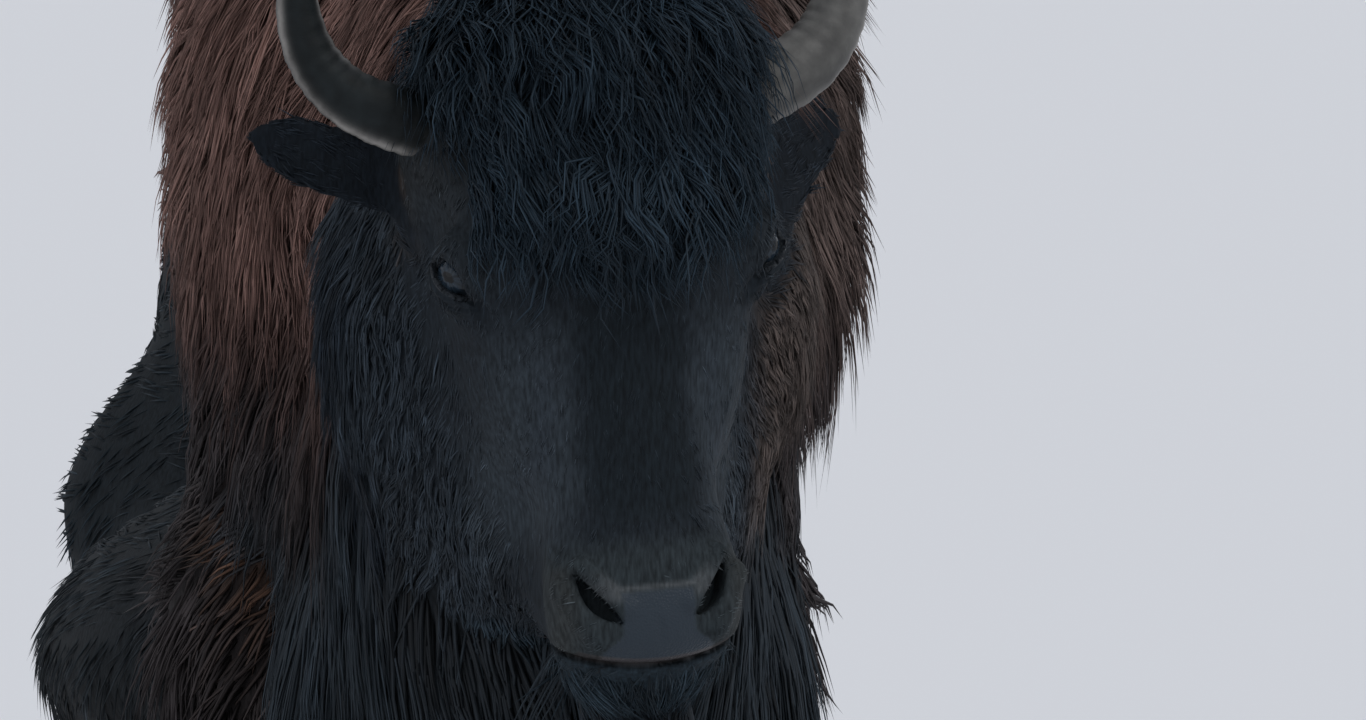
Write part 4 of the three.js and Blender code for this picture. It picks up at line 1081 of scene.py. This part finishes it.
coat('coat_face', face_w * (1 - 0.3 * smooth(-HZ, 200, 240)), 12500, 2, 21, mat=short_hair, tips=1.2, foot=0.8, off=0.8, group=5, draw=0.35)
coat('coat_ears', IS['ear'] * 1.0, 2200, 2, 22, mat=short_hair, spread=0.25, tips=1.2, foot=0.8, group=5)
coat('coat_mop', IS['mop'] * 1.0, 7000, 5, 23, curl=1.7, turns=1.25, droop=0.16, mat=dark_hair, spread=0.3, tips=1.9, vary=0.2, group=9, draw=0.75)
coat('coat_beard', IS['beard'] * 1.0, 2000, 4, 24, curl=0.6, turns=0.8, droop=0.2, mat=dark_hair, spread=0.15, tips=1.5, group=9)
back_head = (IS['ruff'] | (IS['head'] & (HD >= 175))) * 1.0
coat('coat_cheeks', back_head * free * no_eye, 9000, 3, 25, curl=0.35, turns=0.8, droop=0.12, mat=dark_hair, tips=1.5, group=8)
neckw = IS['body'] * (Y < -560) * 1.0
coat('coat_neck', neckw, 12000, 3, 26, curl=0.7, turns=0.9, droop=0.12, mat=wool, spread=0.2, tips=1.5, group=10, draw=0.75, off=0.72)
capew = IS['body'] * (Y >= -560) * (Y < -60) * (Z > 640) * 1.0 + IS['fore'] * (Z > 640)
coat('coat_cape', capew, 12000, 3, 27, curl=0.6, turns=0.9, droop=0.08, mat=wool, spread=0.2, tips=1.5, group=10, draw=0.75, off=0.72)
coat('coat_mane', IS['hang'] * 1.0, 8300, 4, 28, curl=0.7, turns=0.8, droop=0.1, mat=dark_hair, spread=0.14, tips=1.6, group=11, draw=0.75, off=0.8)
chapw = (IS['chap'] | (IS['fore'] & (Z <= 640) & (Z > 400))) * 1.0
coat('coat_chaps', chapw, 7000, 3, 29, curl=0.5, turns=0.8, droop=0.05, mat=wool, spread=0.18, tips=1.5, group=9)
coat('coat_barrel', IS['body'] * (Y >= -60) * (Y < 520) * 1.0, 9500, 2, 30, mat=wool, spread=0.22, tips=1.2, foot=0.8, off=0.75)
rearw = (IS['body'] & (Y >= 520)) * 1.0 + IS['hind'] * (Z > 430)
coat('coat_rump', rearw, 8500, 2, 31, mat=wool, spread=0.22, tips=1.2, foot=0.8, off=0.75)
legw = (IS['fore'] * (Z <= 400) + IS['hind'] * (Z <= 430)) * 1.0
coat('coat_shanks', legw, 5500, 2, 32, mat=short_hair, spread=0.18, tips=1.2, foot=0.8, off=0.8)
coat('coat_tail', IS['tail'] * (0.6 + 0.4 * smooth(-Z, -1000, -850)), 1200, 3, 33, mat=dark_hair, spread=0.12, tips=1.4)
# the brush of the tail hangs from its lower end
low_tail = IS['tail'] * smooth(-Z, -930, -840)
coat('coat_brush', low_tail * 1.0, 800, 5, 34, curl=0.8, turns=0.9, droop=0.0, long=6.0, wide=1.7, mat=dark_hair, spread=0.08, tips=1.4,
     off=0.1, hang=3.0, group=8)


# ------------------------------------------------------------------ eyes
def eyeball(side):
    rings, seg = 56, 72
    V, Fc = [], []
    o = E_OUT * np.array([side, 1, 1])
    al = E_ALONG * np.array([side, 1, 1])
    ac = np.cross(o, al)
    c = np.array([side * EYE[0], EYE[1], EYE[2]])
    cols = []
    rr = np.random.default_rng(5)
    for i in range(rings + 1):
        th = math.pi * i / rings
        for j in range(seg):
            f = 2 * math.pi * j / seg
            bulge = 1 + 0.045 * math.exp(-(th / 0.5) ** 2)
            n = math.cos(th) * o + math.sin(th) * (math.cos(f) * al + math.sin(f) * ac)
            V.append(c + n * (EYE_R - 0.5) * bulge)
            u, w = math.sin(th) * math.cos(f), math.sin(th) * math.sin(f)
            pupil = math.hypot(u / 0.30, w / 0.17)
            # colours of the eyeball: back, pupil, iris and the ring round it; iris and ring are a light blue-grey,
            # painted reflection of the sky over the iris's own streaks
            if th > math.pi / 2:
                k = np.array([0.05, 0.035, 0.03])
            elif pupil < 1:
                k = np.array([0.002, 0.002, 0.0025])
            elif th < 0.86:
                st = 0.75 + 0.35 * math.sin(f * 23 + 3 * math.sin(f * 7))
                k = np.array([0.022, 0.034, 0.048]) * st * (1.15 - 0.7 * smooth(th, 0.6, 0.86))
            else:
                k = np.array([0.024, 0.032, 0.040]) * (0.5 + 0.5 * smooth(th, 0.86, 1.15))
            cols.append(k)
    for i in range(rings):
        for j in range(seg):
            a, b = i * seg + j, i * seg + (j + 1) % seg
            Fc.append((a, b, b + seg, a + seg) if side > 0 else (a, a + seg, b + seg, b))
    me = mesh_of('eye', world(from_head(np.array(V))), np.array(Fc))
    attribute(me, 'Col', np.array(cols, float))
    m, nt, bs = tree('eye_%s' % ('left' if side > 0 else 'right'))
    at = node(nt, 'ShaderNodeAttribute', attribute_name='Col')
    nt.links.new(at.outputs['Color'], bs.inputs['Base Color'])
    bs.inputs['Roughness'].default_value = 0.1
    bs.inputs['IOR'].default_value = 1.38
    me.materials.append(m)
    nm = 'left' if side > 0 else 'right'
    return add('eye_%s_ball' % nm, me, ('eye_' + nm,))


# ------------------------------------------------------------------ horns
def horn(side):
    n, seg = 150, 56
    K = HORN.copy()
    K[:, 3] *= HORN_THICK[side]
    K = np.vstack([[80, 96, 104, 25], K])
    tt = np.linspace(0, len(K) - 1, n)
    i0 = np.clip(np.floor(tt).astype(int), 0, len(K) - 2)
    fr = tt - i0
    g = lambda i: K[np.clip(i, 0, len(K) - 1)]
    p0, p1, p2, p3 = g(i0 - 1), g(i0), g(i0 + 1), g(i0 + 2)
    f = fr[:, None]
    C = 0.5 * (2 * p1 + (p2 - p0) * f + (2 * p0 - 5 * p1 + 4 * p2 - p3) * f ** 2 + (3 * p1 - p0 - 3 * p2 + p3) * f ** 3)
    s = np.concatenate([[0], np.cumsum(np.linalg.norm(np.diff(C[:, :3], axis=0), axis=1))])
    V, cols = [], []
    r = np.random.default_rng(40 + side)
    streak = r.random(12)
    for i in range(n):
        tg = C[min(i + 1, n - 1), :3] - C[max(i - 1, 0), :3]
        tg /= np.linalg.norm(tg)
        u = unit(np.cross([0, 1, 0], tg))
        w = np.cross(tg, u)
        grow = 1 - smooth(s[i], 150, 230)
        ring = 0.40 * grow * (math.sin(s[i] * 0.42 + 1.1 * math.sin(s[i] * 0.09)) + 0.5 * math.sin(s[i] * 1.3))
        for j in range(seg):
            a = 2 * math.pi * j / seg
            rad = max(C[i, 3] + ring * (0.8 + 0.3 * math.sin(a * 2 + 1)) + 0.5 * math.sin(a * 3 + s[i] * 0.03) * grow, 0.8)
            V.append(C[i, :3] + (u * math.cos(a) + w * math.sin(a)) * rad)
            t = s[i] / s[-1]
            turn = (a + math.pi) % (2 * math.pi) - math.pi
            # painted light: a lit band along the underside of each horn, as from light below, and on the dark horn a
            # second lit band on the inner curve
            lit_underside = math.exp(-((turn + 0.30) / 0.30) ** 2) * float(smooth(s[i], 40, 75))
            inner = math.exp(-((turn + 2.75) / 0.24) ** 2) * float(smooth(t, 0.35, 0.6))
            # the right horn is painted dark, as in shade, the left pale, as in light
            if side < 0:
                k = np.array([0.0085, 0.0115, 0.0125]) + np.array([0.21, 0.195, 0.18]) * lit_underside + np.array([0.17, 0.165, 0.16]) * inner
            else:
                k = np.array([0.090, 0.088, 0.082]) + np.array([0.070, 0.064, 0.058]) * lit_underside
            mott = 0.5 + 0.5 * math.sin(s[i] * 0.055 + 2.2 * math.sin(a + 0.5) + streak[0] * 6)
            k = k * (0.75 + 0.45 * mott)
            k = k * (0.92 + 0.10 * math.sin(a * 9 + 1.2 * math.sin(s[i] * 0.04)))
            k = k + (np.array([0.030, 0.026, 0.024]) - k) * float(smooth(t, 0.74, 0.98)) * 0.85
            k = k + (np.array([0.045, 0.038, 0.034]) - k) * float(1 - smooth(s[i], 36, 62)) * 0.7
            cols.append(k)
    V.append(C[-1, :3] + (C[-1, :3] - C[-2, :3]) * 0.8)
    cols.append(np.array([0.03, 0.026, 0.024]))
    V.append(C[0, :3])
    cols.append(np.array([0.04, 0.035, 0.03]))
    V = np.array(V)
    V[:, 0] *= side
    Fc = []
    for i in range(n - 1):
        for j in range(seg):
            a, b = i * seg + j, i * seg + (j + 1) % seg
            Fc.append((a, b, b + seg))
            Fc.append((a, b + seg, a + seg))
    top, low = n * seg, n * seg + 1
    for j in range(seg):
        Fc.append((top, (n - 1) * seg + j, (n - 1) * seg + (j + 1) % seg))
        Fc.append((low, (j + 1) % seg, j))
    Fc = np.array(Fc)
    if side < 0:
        Fc = Fc[:, ::-1]
    nm = 'left' if side > 0 else 'right'
    me = mesh_of('horn_' + nm, world(from_head(V)), Fc)
    attribute(me, 'Col', np.array(cols))
    m, nt, bs = tree('horn_' + nm)
    L = nt.links.new
    at = node(nt, 'ShaderNodeAttribute', attribute_name='Col')
    tc = node(nt, 'ShaderNodeTexCoord')
    no = node(nt, 'ShaderNodeTexNoise')
    no.inputs['Scale'].default_value = 70
    no.inputs['Detail'].default_value = 6
    L(tc.outputs['Object'], no.inputs['Vector'])
    mr = node(nt, 'ShaderNodeMapRange')
    mr.inputs['From Min'].default_value, mr.inputs['From Max'].default_value = 0.3, 0.7
    mr.inputs['To Min'].default_value, mr.inputs['To Max'].default_value = 0.7, 1.35
    L(no.outputs['Fac'], mr.inputs['Value'])
    mul = node(nt, 'ShaderNodeVectorMath', operation='SCALE')
    L(at.outputs['Color'], mul.inputs[0])
    L(mr.outputs[0], mul.inputs['Scale'])
    L(mul.outputs[0], bs.inputs['Base Color'])
    bs.inputs['Roughness'].default_value = 0.55
    bs.inputs['Specular IOR Level'].default_value = 0.5 if side > 0 else 0.16
    bu = node(nt, 'ShaderNodeBump')
    bu.inputs['Strength'].default_value = 0.35
    bu.inputs['Distance'].default_value = 0.0008
    n2 = node(nt, 'ShaderNodeTexNoise')
    n2.inputs['Scale'].default_value = 260
    L(tc.outputs['Object'], n2.inputs['Vector'])
    L(n2.outputs['Fac'], bu.inputs['Height'])
    L(bu.outputs[0], bs.inputs['Normal'])
    me.materials.append(m)
    return add('horn_%s_sheath' % nm, me, ('horn_' + nm,))


# ------------------------------------------------------------------ hooves
def hoof_material():
    m, nt, bs = tree('hoof_wall')
    L = nt.links.new
    tc = node(nt, 'ShaderNodeTexCoord')
    mp = node(nt, 'ShaderNodeMapping')
    mp.inputs['Scale'].default_value = (60, 60, 260)
    L(tc.outputs['Object'], mp.inputs[0])
    no = node(nt, 'ShaderNodeTexNoise')
    no.inputs['Scale'].default_value = 1.0
    no.inputs['Detail'].default_value = 4
    L(mp.outputs[0], no.inputs['Vector'])
    cr = node(nt, 'ShaderNodeValToRGB')
    cr.color_ramp.elements[0].position, cr.color_ramp.elements[1].position = 0.3, 0.75
    cr.color_ramp.elements[0].color = (0.010, 0.009, 0.008, 1)
    cr.color_ramp.elements[1].color = (0.045, 0.038, 0.032, 1)
    L(no.outputs['Fac'], cr.inputs['Fac'])
    L(cr.outputs[0], bs.inputs['Base Color'])
    bs.inputs['Roughness'].default_value = 0.5
    bu = node(nt, 'ShaderNodeBump')
    bu.inputs['Strength'].default_value = 0.5
    bu.inputs['Distance'].default_value = 0.001
    L(no.outputs['Fac'], bu.inputs['Height'])
    L(bu.outputs[0], bs.inputs['Normal'])
    return m


HOOF_MAT = hoof_material()


def claw(x, y, out, name):
    seg = 44
    levels = [(0.0, 0.975), (1.2, 1.0), (10, 0.995), (22, 0.965), (34, 0.935), (46, 0.895), (56, 0.855), (64, 0.81), (70, 0.775), (HOOF_TOP - 0.5, 0.75)]
    half, toe, heel = 25.4, 66.0, 40.0
    V = []
    for z, s in levels:
        for j in range(seg):
            a = 2 * math.pi * j / seg
            c, q = math.cos(a), math.sin(a)
            front = toe if q < 0 else heel
            px = half * np.sign(c) * abs(c) ** 0.8 * s
            py = front * np.sign(q) * abs(q) ** 0.9 * s
            if q > 0.55:
                py -= 5.0 * (q - 0.55) / 0.45 * (1 - z / HOOF_TOP)
            V.append((x + px, y + py + (1 - s) * 46 - 6, z))
    n = len(levels)
    Fc = []
    for i in range(n - 1):
        for j in range(seg):
            a, b = i * seg + j, i * seg + (j + 1) % seg
            Fc.append((a, b, b + seg, a + seg))
    V.append((x, y - 12, 0.0))
    V.append((x, y + 6, HOOF_TOP - 0.5))
    tri = []
    for j in range(seg):
        b = (j + 1) % seg
        tri.append((len(V) - 2, b, j))
        tri.append((len(V) - 1, (n - 1) * seg + j, (n - 1) * seg + b))
    allf = [(a, b, c) for a, b, c, d in Fc] + [(a, c, d) for a, b, c, d in Fc] + tri
    V = np.array(V, float)
    W = world(V)
    W[:, 2] = V[:, 2] * 0.001
    me = mesh_of(name, W, np.array(allf))
    me.materials.append(HOOF_MAT)
    return add(name + '_wall', me, (name,))


for side in (1, -1):
    eyeball(side)
    horn(side)
    nm, si = ('left', 0) if side > 0 else ('right', 1)
    for foot, mx, my in (('fore', 142 + SPREAD[si], -466 + FORE_STEP[si]), ('hind', 155 + SPREAD[si], 872 + HIND_STEP[si])):
        for which, off in (('inner', -1), ('outer', 1)):
            claw(side * (mx + off * 26.2), my, side * off, 'hoof_%s_%s_%s' % (foot, nm, which))
note('parts')

# ------------------------------------------------------------------ floor, light, camera
floor_me = bpy.data.meshes.new('floor')
ring = [(170 * math.cos(2 * math.pi * i / 96), 170 * math.sin(2 * math.pi * i / 96), 0) for i in range(96)]
floor_me.from_pydata(ring, [], [list(range(96))])
floor = bpy.data.objects.new('floor', floor_me)
bpy.context.scene.collection.objects.link(floor)
fm, fnt, fbs = tree('floor_pale')
fbs.inputs['Base Color'].default_value = (0.80, 0.81, 0.83, 1)
fbs.inputs['Roughness'].default_value = 0.9
fbs.inputs['Specular IOR Level'].default_value = 0.1
floor_me.materials.append(fm)
floor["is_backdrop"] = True

w = bpy.data.worlds.new('pale') if not bpy.context.scene.world else bpy.context.scene.world
bpy.context.scene.world = w
w.use_nodes = True
bg = next(n for n in w.node_tree.nodes if n.type == 'BACKGROUND')
bg.inputs[0].default_value = (0.90, 0.93, 1.0, 1)
bg.inputs[1].default_value = 0.62


def sun(name, az, el, power, size, colour=(1, 1, 1)):
    ld = bpy.data.lights.new(name, 'SUN')
    ld.energy = power
    ld.angle = math.radians(size)
    ld.color = colour
    ob = bpy.data.objects.new(name, ld)
    bpy.context.scene.collection.objects.link(ob)
    a, e = math.radians(az), math.radians(el)
    d = Vector((math.sin(a) * math.cos(e), -math.cos(a) * math.cos(e), math.sin(e)))
    ob.rotation_euler = d.to_track_quat('Z', 'Y').to_euler()
    return ob


sun('key', 48, 50, 0.75, 35, (1.0, 0.98, 0.96))
sun('fill', -50, 30, 0.25, 60, (0.9, 0.95, 1.0))

# the camera: a long lens, low and nearly head on
CAM_AZ, CAM_EL, CAM_D, MM_PX = -4.2, 3.75, 17.0, 0.78
a, e = math.radians(CAM_AZ), math.radians(CAM_EL)
back = np.array([math.sin(a) * math.cos(e), -math.cos(a) * math.cos(e), math.sin(e)])
right = np.array([math.cos(a), math.sin(a), 0.0])
upv = np.cross(back, right)
mid = world(from_head(np.array([[0.0, EYE[1], 0.0]])))[0]
target = mid + right * (75 * MM_PX / 1000) - upv * (98 * MM_PX / 1000)
cam_d = bpy.data.cameras.new('camera')
cam_d.sensor_width = 36.0
cam_d.lens = 36.0 * (CAM_D * 1000 / MM_PX) / 1366
cam_d.clip_start, cam_d.clip_end = 0.5, 400.0
cam = bpy.data.objects.new('camera', cam_d)
bpy.context.scene.collection.objects.link(cam)
cam.matrix_world = Matrix(((right[0], upv[0], back[0], 0), (right[1], upv[1], back[1], 0), (right[2], upv[2], back[2], 0), (0, 0, 0, 1)))
cam.location = Vector(target + back * CAM_D)
bpy.context.scene.camera = cam
bpy.context.scene.view_settings.view_transform = 'Standard'

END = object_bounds()
plain = lambda b: [[float(x) for x in row] for row in b] if hasattr(b[0], '__len__') else [float(x) for x in b]
{'cad': plain(START), 'model': plain(END)}
note('done', TOTAL[0])
